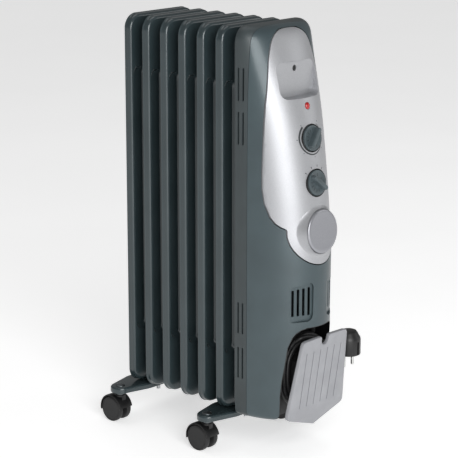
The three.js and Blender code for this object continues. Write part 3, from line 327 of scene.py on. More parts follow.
# name, light and dark colour, mottle and grain in mm, bump, roughness range, metallic, coat, IOR
FINISHES = {
    # sprayed and baked enamel on pressed steel: a soft gloss with faint orange peel
    "enamel": ("Baked enamel on steel", "#323d40", "#2d383b", 60, 2.2, 0.04, (0.2, 0.26), 0.1, 0.25, 1.45),
    # moulded ABS with a fine spark-eroded texture: it scatters a broad, dull highlight
    "frame": ("Textured ABS frame", "#384042", "#343b3d", 40, 0.9, 0.3, (0.42, 0.52), 0.1, 0.05),
    # the same moulding under a thin satin paint
    "cover": ("Painted ABS cover", "#3e4b4f", "#394549", 50, 0.9, 0.2, (0.34, 0.42), 0.2, 0.15),
    # aluminium-flake lacquer on plastic: bright, satin, with a fine sparkle
    "silver": ("Silver lacquer", "#a9aaad", "#a1a2a5", 1.1, 0.8, 0.1, (0.4, 0.48), 0.6, 0.0),
    # the same lacquer, smoother and a shade darker on the badge
    "badge": ("Satin silver badge", "#97989d", "#909196", 1.1, 0.8, 0.1, (0.3, 0.4), 0.7, 0.1),
    # silver pigment moulded into the plastic: flatter, with hardly any metal in it
    "plate": ("Silver moulded plate", "#98999d", "#909195", 30, 1.0, 0.2, (0.4, 0.5), 0.25, 0.0),
    # moulded knobs, finely grained
    "knob": ("Moulded knob", "#465054", "#3c4649", 12, 0.8, 0.2, (0.35, 0.45), 0.05, 0.0),
    # plain black moulding, a little worn
    "black": ("Black moulded plastic", "#121213", "#0e0e0f", 15, 0.9, 0.25, (0.35, 0.5)),
    # nylon wheels, rougher than the black moulding
    "wheel": ("Nylon wheel", "#131314", "#101011", 10, 1.1, 0.2, (0.5, 0.62)),
    # extruded PVC sheath: dull black, not quite even
    "cord": ("PVC cord sheath", "#1d1d1e", "#151516", 6, 0.7, 0.2, (0.4, 0.55)),
    # a clear-coated red lens
    "lamp": ("Red lamp lens", "#a80a0a", "#8c0606", 3, 1.5, 0.05, (0.12, 0.2), 0.0, 0.6),
    # bright zinc plating with a faint crystal mottle
    "zinc": ("Zinc plated steel", "#b9bbbd", "#a6a8aa", 8, 0.7, 0.2, (0.3, 0.45), 1.0),
    # zinc passivated dark on the caster stems
    "zinc_dark": ("Dark passivated zinc", "#6e7375", "#5f6466", 8, 0.7, 0.2, (0.35, 0.5), 1.0),
    # nickel on the plug's pins: bright, with a soft shine
    "nickel": ("Nickel plated brass", "#d2d2d0", "#c4c4c2", 8, 1.0, 0.08, (0.15, 0.25), 1.0),
    # galvanised sheet with its spangle
    "shield": ("Galvanised sheet", "#aeb1b3", "#94979a", 14, 1.2, 0.15, (0.35, 0.5), 1.0),
    # off-white moulding of the inner electrical pieces
    "terminal": ("Off-white moulding", "#e6e1d3", "#dad5c6", 10, 0.9, 0.2, (0.4, 0.5)),
    # glass-fibre sleeve over the wires: rough and matt
    "sleeve": ("Glass-fibre sleeve", "#8d8a82", "#6f6c66", 2, 0.6, 0.6, (0.7, 0.85)),
    # dark ink of the scales and ticks
    "ink": ("Printed marking", "#2c3032", "#25292b", 4, 0.8, 0.1, (0.45, 0.55)),
    # the pale floor of the stage
    "floor": ("Pale studio floor", "#f4f4f4", "#f1f1f1", 400, 3.0, 0.02, (0.6, 0.7)),
}
_made = {}


def finish(key):
    """The finish of that name, made once."""
    if key not in _made:
        _made[key] = surface(*FINISHES[key])
    return _made[key]


# ---- the housing's rule --------------------------------------------------------------
def monotone(points, at):
    """A smooth curve through rising points that never overshoots them."""
    count = len(points)
    at = min(max(at, points[0][0]), points[-1][0])
    slopes = [(b[1] - a[1]) / (b[0] - a[0]) for a, b in zip(points, points[1:])]
    k = next(i for i in range(count - 1) if at <= points[i + 1][0])

    def tangent(i):
        if i in (0, count - 1):
            return slopes[0] if i == 0 else slopes[-1]
        if slopes[i - 1] * slopes[i] <= 0:
            return 0.0
        return 2 * slopes[i - 1] * slopes[i] / (slopes[i - 1] + slopes[i])

    x0, y0 = points[k]
    x1, y1 = points[k + 1]
    h = x1 - x0
    t = (at - x0) / h
    return (y0 * (1 + 2 * t) * (1 - t) ** 2 + h * tangent(k) * t * (1 - t) ** 2
            + y1 * t * t * (3 - 2 * t) - h * tangent(k + 1) * t * t * (1 - t))


def nose_depth(z):
    """How far the nose stands out at that height."""
    return monotone(NOSE_PROFILE, z)


def half_width(z):
    """Half the housing's width at that height, with its round corners."""
    top = z - (HOUSING_HIGH - TOP_CORNER)
    low = HOUSING_LOW + LOW_CORNER - z
    if top > 0:
        return HOUSING_HALF - TOP_CORNER + math.sqrt(max(0.0, TOP_CORNER**2 - top * top))
    if low > 0:
        return HOUSING_HALF - LOW_CORNER + math.sqrt(max(0.0, LOW_CORNER**2 - low * low))
    return HOUSING_HALF


def shrunk(measure, z, wall):
    """A measure of the housing moved inwards by a wall, on its sides and its ends."""
    return min(measure(z) - wall, measure(z - wall), measure(z + wall))


def nose(x, z):
    """The y of the housing's outside at that place."""
    return NOSE_BASE - nose_depth(z) * math.sqrt(max(0.0, 1 - (x / half_width(z)) ** 2))


def housing_form(wall, rear):
    """A closed solid of the housing's outside, moved inwards by a wall."""
    low, high = HOUSING_LOW + wall, HOUSING_HIGH - wall
    levels = [HOUSING_LOW + i for i in range(13)] + [76, 80, 90, 105] + list(range(120, 600, 10))
    levels += [600, 605] + [608 + 1.5 * i for i in range(15)] + [629.8, 630.4]
    heights = [low] + [z for z in levels if low + 0.2 < z < high - 0.2] + [high]
    rings = []
    for z in heights:
        a, b = shrunk(half_width, z, wall), shrunk(nose_depth, z, wall)
        ring = [(-a, rear, z), (a, rear, z)]
        for i in range(73):
            angle = math.pi * i / 72
            ring.append((a * math.cos(angle), NOSE_BASE - b * math.sin(angle), z))
        rings.append(ring)
    return loft("form", rings)


def panel(z, tilt=PANEL_TILT):
    """The place of a piece that sits square on the fascia's centre line."""
    return Matrix.Translation((0, nose(0, z), z)) @ Matrix.Rotation(-tilt, 4, "X")


FASCIA_SIDE = [
    (8, 624.4), (16, 623.7), (23, 621.4), (30, 617.6), (35.5, 612.5), (40, 605), (43.5, 596), (47, 584.5),
    (50.6, 566), (54, 546), (57.6, 524), (60.2, 497), (61.9, 462), (63.2, 428), (63.6, 403),
    (62.6, 383), (59.6, 364.5), (56, 355.5), (51.8, 350.8), (47.4, 348),
]


def fascia_outline(grow=0.0):
    """The silver panel's outline: a tall shield that ends in a round lobe."""
    side = list(FASCIA_SIDE)
    lobe_radius, lobe_z = 46.6, 340.2
    lobe = []
    for degrees in range(6, -90, -6):
        angle = math.radians(degrees)
        lobe.append((lobe_radius * math.cos(angle), lobe_z + lobe_radius * math.sin(angle)))
    right = [(0.0, 624.6)] + side + lobe + [(0.0, 293.6)]
    left = [(-x, z) for x, z in reversed(right[1:-1])]
    return offset(list(reversed(right + left)), -grow)


def prism(outline, y0, y1):
    """A straight block of that outline, used for cutting and keeping."""
    return slab("prism", outline, [(0, y0), (0, y1)])


def grip_outline(grow=0.0):
    """The hand grip: a rounded rectangle whose top edge is bowed upwards."""
    half, bow = 40.5, 2.0
    points = rounded_rect(half + grow, 529 - grow, 579 + grow, 11 + grow, 8)
    return [(x, z + bow * (1 - (x / half) ** 2) * (z > 560)) for x, z in points]


def recess_outline(grow=0.0):
    """The cord recess, open at the bottom; its first points are its top edge."""
    side = [(24, 201.6), (32, 199), (38, 194.5), (42, 188), (46.7, 173), (49, 149), (51.7, 124),
            (53.2, 100), (53.2, 40)]
    top_points = 3
    right = [(x + grow, z + (grow if i < top_points else 0)) for i, (x, z) in enumerate(side)]
    left = [(-x, z) for x, z in reversed(right)]
    return list(reversed(right + left))


def pocket_outline(grow=0.0):
    """One vent pocket in its own plane: s runs towards the outside."""
    points = [(0, 214), (3, 210.5), (28, 211), (33, 214.5), (35, 221), (35.4, 262), (33.6, 266.5), (30, 268),
              (5, 263), (1.4, 260.6), (0, 257)]
    return offset(points, -grow)


def pocket_place(side):
    """The plane of one vent pocket, turned to lie along the nose."""
    inner_x, low = 45, 212
    turn = Matrix.Rotation(side * math.radians(25), 4, "Z")
    return Matrix.Translation((side * inner_x, nose(inner_x, low), 0)) @ turn


def pocket_prism(side, outline, out, inwards):
    """A block of that outline, square to one vent pocket's plane."""
    points = [(-side * s, z) for s, z in outline]
    if side > 0:
        points.reverse()
    return slab("pocket", points, [(0, -out), (0, inwards)], pocket_place(side))


# ---- settings ------------------------------------------------------------------------
class HeaterSizes(bpy.types.PropertyGroup):
    """Sizes that a maker would change."""

    fin_count: bpy.props.IntProperty(
        name="Fins", description="Number of oil filled fins", default=7, min=3, max=13)
    fin_pitch: bpy.props.FloatProperty(
        name="Fin pitch", description="From one fin to the next", default=FIN_PITCH / 1000, unit="LENGTH")
    fin_bend: bpy.props.FloatProperty(
        name="Fin bend", description="Radius of the fin's front edge", default=0.0044, unit="LENGTH")
    cord_diameter: bpy.props.FloatProperty(
        name="Cord diameter", description="Outside of the supply cord", default=0.007, unit="LENGTH")
    wall: bpy.props.FloatProperty(
        name="Housing wall", description="Thickness of the housing's wall", default=0.0025, unit="LENGTH")
    seam: bpy.props.FloatProperty(
        name="Fascia seam", description="Gap round the silver panel", default=0.0016, unit="LENGTH")


class HEATER_OT_stage(bpy.types.Operator):
    """Floor, camera and soft studio light"""

    bl_idname = "heater.stage"
    bl_label = "Stage"
    bl_options = {"REGISTER", "UNDO"}

    def execute(self, context):
        camera = bpy.data.objects.new("Camera", bpy.data.cameras.new("Camera"))
        camera.data.sensor_width = 36
        camera.data.lens = 142.0
        camera.location = (-1.912, -1.7632, 0.9747)
        camera.rotation_euler = (math.radians(90 - 14.25), 0, math.radians(-47.2))
        camera.data.clip_end = 50
        bpy.context.scene.collection.objects.link(camera)
        bpy.context.scene.camera = camera
        half = 1.5e4
        corners = ((-half, -half), (half, -half), (half, half), (-half, half))
        floor = build("studio_floor", [(x, y, -SHIFT.z) for x, y in corners], [(0, 1, 2, 3)], merge=False)
        floor.data.materials.append(finish("floor"))
        glow = finish("floor").node_tree.nodes["Principled BSDF"]
        glow.inputs["Emission Color"].default_value = colour("#ffffff")
        glow.inputs["Emission Strength"].default_value = 0.5
        world = bpy.data.worlds.new("Studio")
        bpy.context.scene.world = world
        world.use_nodes = True
        world.node_tree.nodes["Background"].inputs["Color"].default_value = colour("#ffffff")
        world.node_tree.nodes["Background"].inputs["Strength"].default_value = 0.26
        bpy.context.scene.view_settings.view_transform = "Standard"
        lamps = (
            ("key", (-1.35, -2.1, 1.1), (1.5, 1.8), 58),
            ("fill", (2.4, -2.0, 1.2), (1.2, 1.4), 9),
            ("top", (0.2, 0.6, 2.8), (1.6, 1.6), 9),
        )
        for name, spot, size, power in lamps:
            data = bpy.data.lights.new(name, "AREA")
            data.shape = "RECTANGLE"
            data.size, data.size_y = size
            data.energy = power
            lamp = bpy.data.objects.new(name, data)
            lamp.location = spot
            aim = Vector((0, -0.05, 0.3)) - Vector(spot)
            lamp.rotation_euler = aim.to_track_quat("-Z", "Y").to_euler()
            bpy.context.scene.collection.objects.link(lamp)
        return {"FINISHED"}


class HEATER_OT_cord(bpy.types.Operator):
    """The supply cord, wound in two layers on its holder, and its short free end"""

    bl_idname = "heater.cord"
    bl_label = "Supply cord"
    bl_options = {"REGISTER", "UNDO"}

    def execute(self, context):
        sizes = context.scene.heater_sizes
        d = sizes.cord_diameter * 1000
        points = cord_route(d)
        curve = bpy.data.curves.new("supply_cord", "CURVE")
        curve.dimensions = "3D"
        spline = curve.splines.new("POLY")
        spline.points.add(len(points) - 1)
        for dot, point in zip(spline.points, points):
            dot.co = (*place(point), 1.0)
        curve.bevel_depth = d / 2000
        curve.bevel_resolution = 5
        curve.use_fill_caps = True
        cord = bpy.data.objects.new("supply_cord", curve)
        bpy.context.scene.collection.objects.link(cord)
        curve.materials.append(finish("cord"))
        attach(cord, BODY)
        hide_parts("supply_cord_coil", "supply_cord_tail")
        plug = make_plug()
        return {"FINISHED"}


COIL_CELLS = [(1, 0), (0, 0), (0, 1), (1, 1), (0, 2), (1, 2)]  # (layer, row) of each turn
TAIL = [(-18, -82, 180.6), (-8, -82.2, 180.6), (4, -83.8, 177.8), (14, -86.6, 173), (24, -90.4, 167),
        (34, -93.4, 161.2), (44.9, -94.2, 158), (53, -94.2, 157.6)]


def cord_route(d):
    """The cord's centre line: out of its gland, six turns, and over to the plug."""
    back, centre_z, straight = -56.8, 128.0, 8.0
    core = 34.3  # the inside of the first layer

    def on_coil(layer, row, turn_share):
        angle = math.radians(70 - 360 * turn_share)
        radius = core + d * (layer + 0.5)
        z = centre_z + math.copysign(straight, math.sin(angle)) * min(1.0, abs(math.sin(angle)) * 3)
        return Vector((radius * math.cos(angle), back - d * (row + 0.5), z + radius * math.sin(angle)))

    points = [Vector((30, -64, 176.8)), Vector((30, -63, 174.5))]
    steps = 36
    start = 6
    for turn, cell in enumerate(COIL_CELLS):
        after = COIL_CELLS[min(turn + 1, len(COIL_CELLS) - 1)]
        for i in range(steps):
            if turn == 0 and i < start:
                continue
            share = i / steps
            blend = min(1.0, max(0.0, (share - 0.30) / 0.2))
            blend = blend * blend * (3 - 2 * blend)
            if turn == len(COIL_CELLS) - 1:
                blend = 0.0
            here, there = on_coil(*cell, share), on_coil(*after, share)
            points.append(here.lerp(there, blend))
            if turn == len(COIL_CELLS) - 1 and share > 0.86:
                break
    return smooth_path(points + [Vector(p) for p in TAIL])


def smooth_path(points):
    """A finer path through the points."""
    out = []
    for i in range(len(points) - 1):
        p0 = points[max(i - 1, 0)]
        p1, p2 = points[i], points[i + 1]
        p3 = points[min(i + 2, len(points) - 1)]
        for s in range(3):
            t = s / 3
            out.append(0.5 * (2 * p1 + (p2 - p0) * t + (2 * p0 - 5 * p1 + 4 * p2 - p3) * t * t
                              + (3 * p1 - p0 - 3 * p2 + p3) * t**3))
    out.append(points[-1])
    return out


def make_plug():
    """The two-pin plug with its side grooves and ribbed sleeve."""
    upright = Matrix.Translation((PLUG_X, PLUG_Y, PLUG_FACE_Z)) @ Matrix.Rotation(math.pi / 2, 4, "X")
    profile = [(0, 0), (16.4, 0), (17.4, 0.4), (18, 1.4), (18, 23), (17.4, 26), (15.8, 28.6), (13, 33.6),
               (11.2, 36.0), (9, 36.8), (0, 36.8)]
    body = lathe("plug", profile, upright, 72)
    sleeve_at = Matrix.Translation((PLUG_X, PLUG_Y, PLUG_SLEEVE_Z)) @ Matrix.Rotation(math.pi / 2, 4, "Z")
    sleeve = [(0, 30.8), (4.2, 30.8)]
    for i in range(5):
        y = 29 - 2.6 * i
        rib, groove = 4.5 + 0.25 * i, 3.9 + 0.25 * i
        sleeve += [(rib, y), (rib, y - 1.2), (groove, y - 1.6), (groove, y - 2.2)]
    sleeve += [(6.2, 16), (7.4, 13), (0, 13)]
    neck = lathe("sleeve", sleeve, sleeve_at, 32)
    combine(body, [neck], "UNION")
    cutters = []
    for side in (-1, 1):
        y = PLUG_Y + side * PLUG_RADIUS
        cutters.append(box("groove", PLUG_X - 2.4, PLUG_X + 2.4, y - 1.8, y + 1.8, 137, 159))
    combine(body, cutters, "DIFFERENCE")
    shade(body, 40)
    return finished(body, BODY, ["plug_body"], finish("black"))


class HEATER_OT_fins(bpy.types.Operator):
    """The row of pressed steel fins with their oil hubs"""

    bl_idname = "heater.fins"
    bl_label = "Fins"
    bl_options = {"REGISTER", "UNDO"}

    def execute(self, context):
        sizes = context.scene.heater_sizes
        fin = fin_mesh(sizes.fin_bend * 1000)
        pitch = sizes.fin_pitch * 1000
        spread("Fin row", fin, sizes.fin_count, (0, pitch, 0), finish("enamel"))
        shade(fin, 40)
        tubes = []
        for z in HUB_Z:
            for k in range(sizes.fin_count):
                last = k == sizes.fin_count - 1
                y0 = k * pitch - 7.5
                y1 = k * pitch + 2.6 if last else (k + 1) * pitch - 14.4
                rim = [(0, y0), (22, y0), (22, y1 - 1.6), (21.2, y1), (0, y1)]
                if not last:
                    rim = [(0, y0), (24.6, y0), (24.6, y0 + 2.4), (22.6, y0 + 4.2), (22, y0 + 6),
                           (22, y1 - 4), (22.8, y1 - 2.4), (24.2, y1), (0, y1)]
                tubes.append(lathe("tube", rim, Matrix.Translation((0, 0, z)), 48))
        tubes = join("oil_hub_tubes", tubes)
        shade(tubes, 40)
        names = [f"fin_{i + 1}" for i in range(sizes.fin_count)]
        fin.name = "fins"
        finished(fin, BODY, names, finish("enamel"))
        finished(tubes, BODY, [], finish("enamel"))
        return {"FINISHED"}


def smoothstep(a, b, t):
    """A soft step from 0 at a to 1 at b."""
    t = min(1.0, max(0.0, (t - a) / (b - a)))
    return t * t * (3 - 2 * t)


def fin_relief(x, z):
    """How far the fin's face stands forward: domed hubs and sunken channels."""
    dome_height, dome_flat, dome_edge = 2.4, 38, 49
    channel_depth, channel_flat, channel_edge, end_radius = 5.0, 8.9, 12.2, 12
    z0, z1 = 144.0, 549.0
    relief = 0.0
    for hub in HUB_Z:
        r = math.hypot(x, z - hub)
        relief += dome_height * (1 - smoothstep(dome_flat, dome_edge, r))
    for channel in (-51.8, -18.0, 18.0, 51.8):
        along = max(z0 + end_radius - z, z - (z1 - end_radius), 0.0)
        r = math.hypot(x - channel, along)
        relief -= channel_depth * (1 - smoothstep(channel_flat, channel_edge, r))
    return relief


def fin_mesh(bend):
    """One fin: a pressed tray with a rolled front edge, modelled as a thin closed sheet."""
    half, z0, z1, corner, depth = 68.9, 58.9, 627.1, 21.2, 11.8
    # columns stand close together where the channels' walls are, and rise without a break
    side = [half - bend * (1 - math.cos(math.pi / 2 * i / 8)) for i in range(8)] + [half - bend - 0.4]
    side += [63.7, 63.2, 62.5, 61.8, 61.1, 60.4, 59.7, 58.6, 55.0, 51.8, 48.6, 45.0]
    side += [43.9, 43.2, 42.5, 41.8, 41.1, 40.4, 39.7, 38.8, 36.5, 34.0, 31.5]
    side += [30.0, 28.6, 27.2, 25.8, 24.0, 20.0, 16.0, 12.0, 10.2, 8.8, 7.4, 6.0, 3.0]
    cols = [-x / half for x in side] + [0.0] + [x / half for x in reversed(side)]
    rows = [z0 + bend * (1 - math.cos(math.pi / 2 * i / 6)) for i in range(6)]
    rows += [z0 + bend + (corner - bend) * i / 9 for i in range(9)] + [z0 + corner + 3 * i for i in range(34)]
    rows += [rows[-1] + 3 + 9.2 * i for i in range(17)]
    rows = rows + [z0 + z1 - r for r in reversed(rows)]

    def reach(z):
        low = z0 + corner - z
        high = z - (z1 - corner)
        over = max(low, high, 0.0)
        return half - corner + math.sqrt(max(0.0, corner**2 - over**2))

    def edge_distance(x, z):
        px, pz = abs(x) - (half - corner), abs(z - (z0 + z1) / 2) - ((z1 - z0) / 2 - corner)
        if px > 0 and pz > 0:
            return corner - math.hypot(px, pz)
        return corner - max(px, pz)

    verts, faces = [], []
    width = len(cols)
    for z in rows:
        for u in cols:
            x = u * reach(z)
            d = max(0.0, edge_distance(x, z))
            drop = bend - math.sqrt(max(0.0, bend**2 - (bend - d) ** 2)) if d < bend else 0.0
            verts.append((x, -depth + drop - (fin_relief(x, z) if d > 4 else 0.0), z))
    for r in range(len(rows) - 1):
        for c in range(width - 1):
            a = r * width + c
            faces.append((a, a + 1, a + width + 1, a + width))
    top = len(rows) - 1
    border = [(0, c) for c in range(width)] + [(r, width - 1) for r in range(1, top)]
    border += [(top, c) for c in range(width - 1, -1, -1)] + [(r, 0) for r in range(top - 1, 0, -1)]
    loop = [r * width + c for r, c in border]
    lips = [loop]
    middle = (z0 + z1) / 2
    for y, out in ((-6.0, 0.0), (-2.6, 0.0), (-1.9, 0.25), (-1.5, 0.7), (-0.7, 0.9), (0.0, 0.6)):
        start = len(verts)
        for i in loop:
            x, _, z = verts[i]
            verts.append((x * (1 + out / half), y, middle + (z - middle) * (1 + out / (middle - z0))))
        lips.append(list(range(start, start + len(loop))))
    for a, b in zip(lips, lips[1:]):
        for i in range(len(loop)):
            j = (i + 1) % len(loop)
            faces.append((a[j], a[i], b[i], b[j]))
    fin = build("fin", verts, faces)
    wall = fin.modifiers.new("sheet", "SOLIDIFY")
    wall.thickness = 0.0016
    wall.offset = -1
    bake(fin)
    return fin


class HEATER_OT_housing(bpy.types.Operator):
    """The control housing: its rear frame and its front cover with vents and cord recess"""

    bl_idname = "heater.housing"
    bl_label = "Housing"
    bl_options = {"REGISTER", "UNDO"}

    def execute(self, context):
        sizes = context.scene.heater_sizes
        wall = sizes.wall * 1000
        self.rear_frame(wall)
        self.cover(wall, sizes.seam * 1000)
        return {"FINISHED"}

    def rear_frame(self, wall):
        """The strip against the first fin, with its row of side slots."""
        shell = combine(housing_form(0, HOUSING_REAR), [housing_form(wall, REACH)], "DIFFERENCE")
        combine(shell, [box("strip", -200, 200, SPLIT, 200, 0, 900)], "INTERSECT")
        outline = rounded_rect(70.1, 57.7, 628.3, 22.3, 10)
        cutters = [slab("room", outline, [(0, -14.6), (0, 200)])]
        slot = rounded_rect(1.5, -23.5, 23.5, 1.4, 4)
        for y in (-10.0, -18.0):
            for z in (142.0, 209.5, 487.5, 550.0):
                turned = Matrix.Translation((0, y, z)) @ Matrix.Rotation(math.pi / 2, 4, "Z")
                cutters.append(slab("slot", slot, [(0, -200), (0, 200)], turned))
        combine(shell, cutters, "DIFFERENCE")
        shade(shell, 30)
        shell.name = "housing_back_frame"
        finished(shell, BODY, ["housing_rear_frame"], finish("frame"))

    def cover(self, wall, seam):
        """The front shell, open for the fascia, with lined pockets and recess."""
        shell = combine(housing_form(0, HOUSING_REAR), [housing_form(wall, REACH)], "DIFFERENCE")
        combine(shell, [box("front", -200, 200, -REACH, SPLIT - 0.5, 0, 900)], "INTERSECT")
        blocks = [prism(recess_outline(wall), -REACH, RECESS_FLOOR + wall)]
        for side in (-1, 1):
            blocks.append(pocket_prism(side, pocket_outline(wall), REACH, wall))
        linings = [combine(housing_form(0, HOUSING_REAR), [block], "INTERSECT") for block in blocks]
        combine(shell, linings, "UNION")
        cutters = [prism(recess_outline(0), -REACH, RECESS_FLOOR)]
        cutters.append(prism(fascia_outline(seam), -REACH, SPLIT - 8))
        for side in (-1, 1):
            cutters.append(pocket_prism(side, pocket_outline(0), REACH, 0))
            for i in range(4):
                s = 4.6 + i * 8.4
                top = 257 + i
                slot = [(s - 2, 220), (s - 1.4, 219.2), (s + 1.4, 219.2), (s + 2, 220),
                        (s + 2, top), (s + 1.4, top + 0.8), (s - 1.4, top + 0.8), (s - 2, top)]
                cutters.append(pocket_prism(side, slot, 1, 30))
        combine(shell, cutters, "DIFFERENCE")
        shade(shell, 30)
        shell.name = "housing_front_cover"
        finished(shell, BODY, ["housing_cover"], finish("cover"))
        self.recess_liner()

    def recess_liner(self):
        """A thin black skin on the walls and floor of the cord recess."""
        block = prism(recess_outline(-0.05), -REACH, -53.25)
        liner = combine(housing_form(0.4, HOUSING_REAR), [block], "INTERSECT")
        combine(liner, [prism(recess_outline(-0.9), -REACH, -53.9)], "DIFFERENCE")
        shade(liner, 30)
        liner.name = "cord_recess_liner"
        finished(liner, BODY, [], finish("black"))


class HEATER_OT_fascia(bpy.types.Operator):
    """The silver control panel with its hand grip, dial wells and printed scales"""

    bl_idname = "heater.fascia"
    bl_label = "Fascia"
    bl_options = {"REGISTER", "UNDO"}

    def execute(self, context):
        sizes = context.scene.heater_sizes
        wall = sizes.wall * 1000
        skin = combine(housing_form(0, HOUSING_REAR), [housing_form(wall, REACH)], "DIFFERENCE")
        combine(skin, [prism(fascia_outline(0), -REACH, SPLIT - 9)], "INTERSECT")
        block = prism(grip_outline(wall), -REACH, GRIP_FLOOR + wall)
        lining = combine(housing_form(0, HOUSING_REAR), [block], "INTERSECT")
        combine(lining, [prism(fascia_outline(0), -REACH, -30)], "INTERSECT")
        combine(skin, [lining], "UNION")
        cutters = [prism(grip_outline(0), -REACH, GRIP_FLOOR)]
        for z in (THERMOSTAT_Z, SELECTOR_Z):
            cutters.append(lathe("well", [(0, -20), (20, -20), (20, 20), (0, 20)], panel(z), 64))
        cutters.append(lathe("hole", [(0, -20), (5.4, -20), (5.4, 20), (0, 20)], panel(LAMP_Z), 32))
        cutters.append(lathe("hole", [(0, -54), (4.3, -54), (4.3, -44), (0, -44)],
                             Matrix.Translation((0, 0, 569)), 32))
        combine(skin, cutters, "DIFFERENCE")
        shade(skin, 30)
        skin.name = "silver_fascia"
        finished(skin, BODY, ["fascia"], finish("silver"))
        wells = []
        for z in (THERMOSTAT_Z, SELECTOR_Z):
            ring = [(18.9, 9), (18.9, 1.6), (19.2, 0.2), (19.7, -0.3), (20.1, -0.2), (20.4, 0.3),
                    (20.4, 1), (19.95, 1), (19.95, 9)]
            wells.append(ring_lathe("well_ring", ring, panel(z), 64))
        wells = join("dial_well_rings", wells)
        shade(wells, 40)
        finished(wells, BODY, [], finish("black"))
        self.markings()
        return {"FINISHED"}

    def markings(self):
        """The thermostat's growing sweep and both dials' strokes."""
        strips = []
        strips.append(arc_mark(THERMOSTAT_Z, lambda t: 22.0, lambda t: 22.5 + 2.3 * t, 35, 317, 60))
        for i in range(7):
            turn = 35 + 282 * i / 6
            strips.append(arc_mark(THERMOSTAT_Z, lambda t: 25.6, lambda t: 27.4, turn - 0.9, turn + 0.9, 2))
        for turn in (-50, -20, 10, 40):
            strips.append(arc_mark(SELECTOR_Z, lambda t: 22.2, lambda t: 25.2, turn - 1.2, turn + 1.2, 2))
        strips = join("printed_scales", strips)
        shade(strips, 60)
        finished(strips, BODY, [], finish("ink"))


def arc_mark(centre_z, inner, outer, start, end, steps):
    """A thin printed stroke that follows the fascia; angles run clockwise from the top."""
    verts, faces = [], []
    for lift in (0.14, -0.25):
        for i in range(steps + 1):
            t = i / steps
            angle = math.radians(start + (end - start) * t)
            for radius in (inner(t), outer(t)):
                x, z = radius * math.sin(angle), centre_z + radius * math.cos(angle)
                verts.append((x, nose(x, z) - lift, z))
    layer = 2 * (steps + 1)
    for i in range(steps):
        a = 2 * i
        faces.append((a, a + 1, a + 3, a + 2))
        faces.append((layer + a, layer + a + 2, layer + a + 3, layer + a + 1))
        faces.append((a, a + 2, layer + a + 2, layer + a))
        faces.append((a + 1, layer + a + 1, layer + a + 3, a + 3))
    faces.append((0, layer, layer + 1, 1))
    last = 2 * steps
    faces.append((last, last + 1, layer + last + 1, layer + last))
    return build("mark", verts, faces)


def ring_lathe(name, profile, matrix, segments=64):
    """A turned ring whose closed profile stays clear of the axis."""
    rings = []
    for radius, y in profile + [profile[0]]:
        ring = []
        for i in range(segments):
            angle = 2 * math.pi * i / segments
            ring.append(matrix @ Vector((radius * math.cos(angle), y, radius * math.sin(angle))))
        rings.append(ring)
    return loft(name, rings, closed=False)


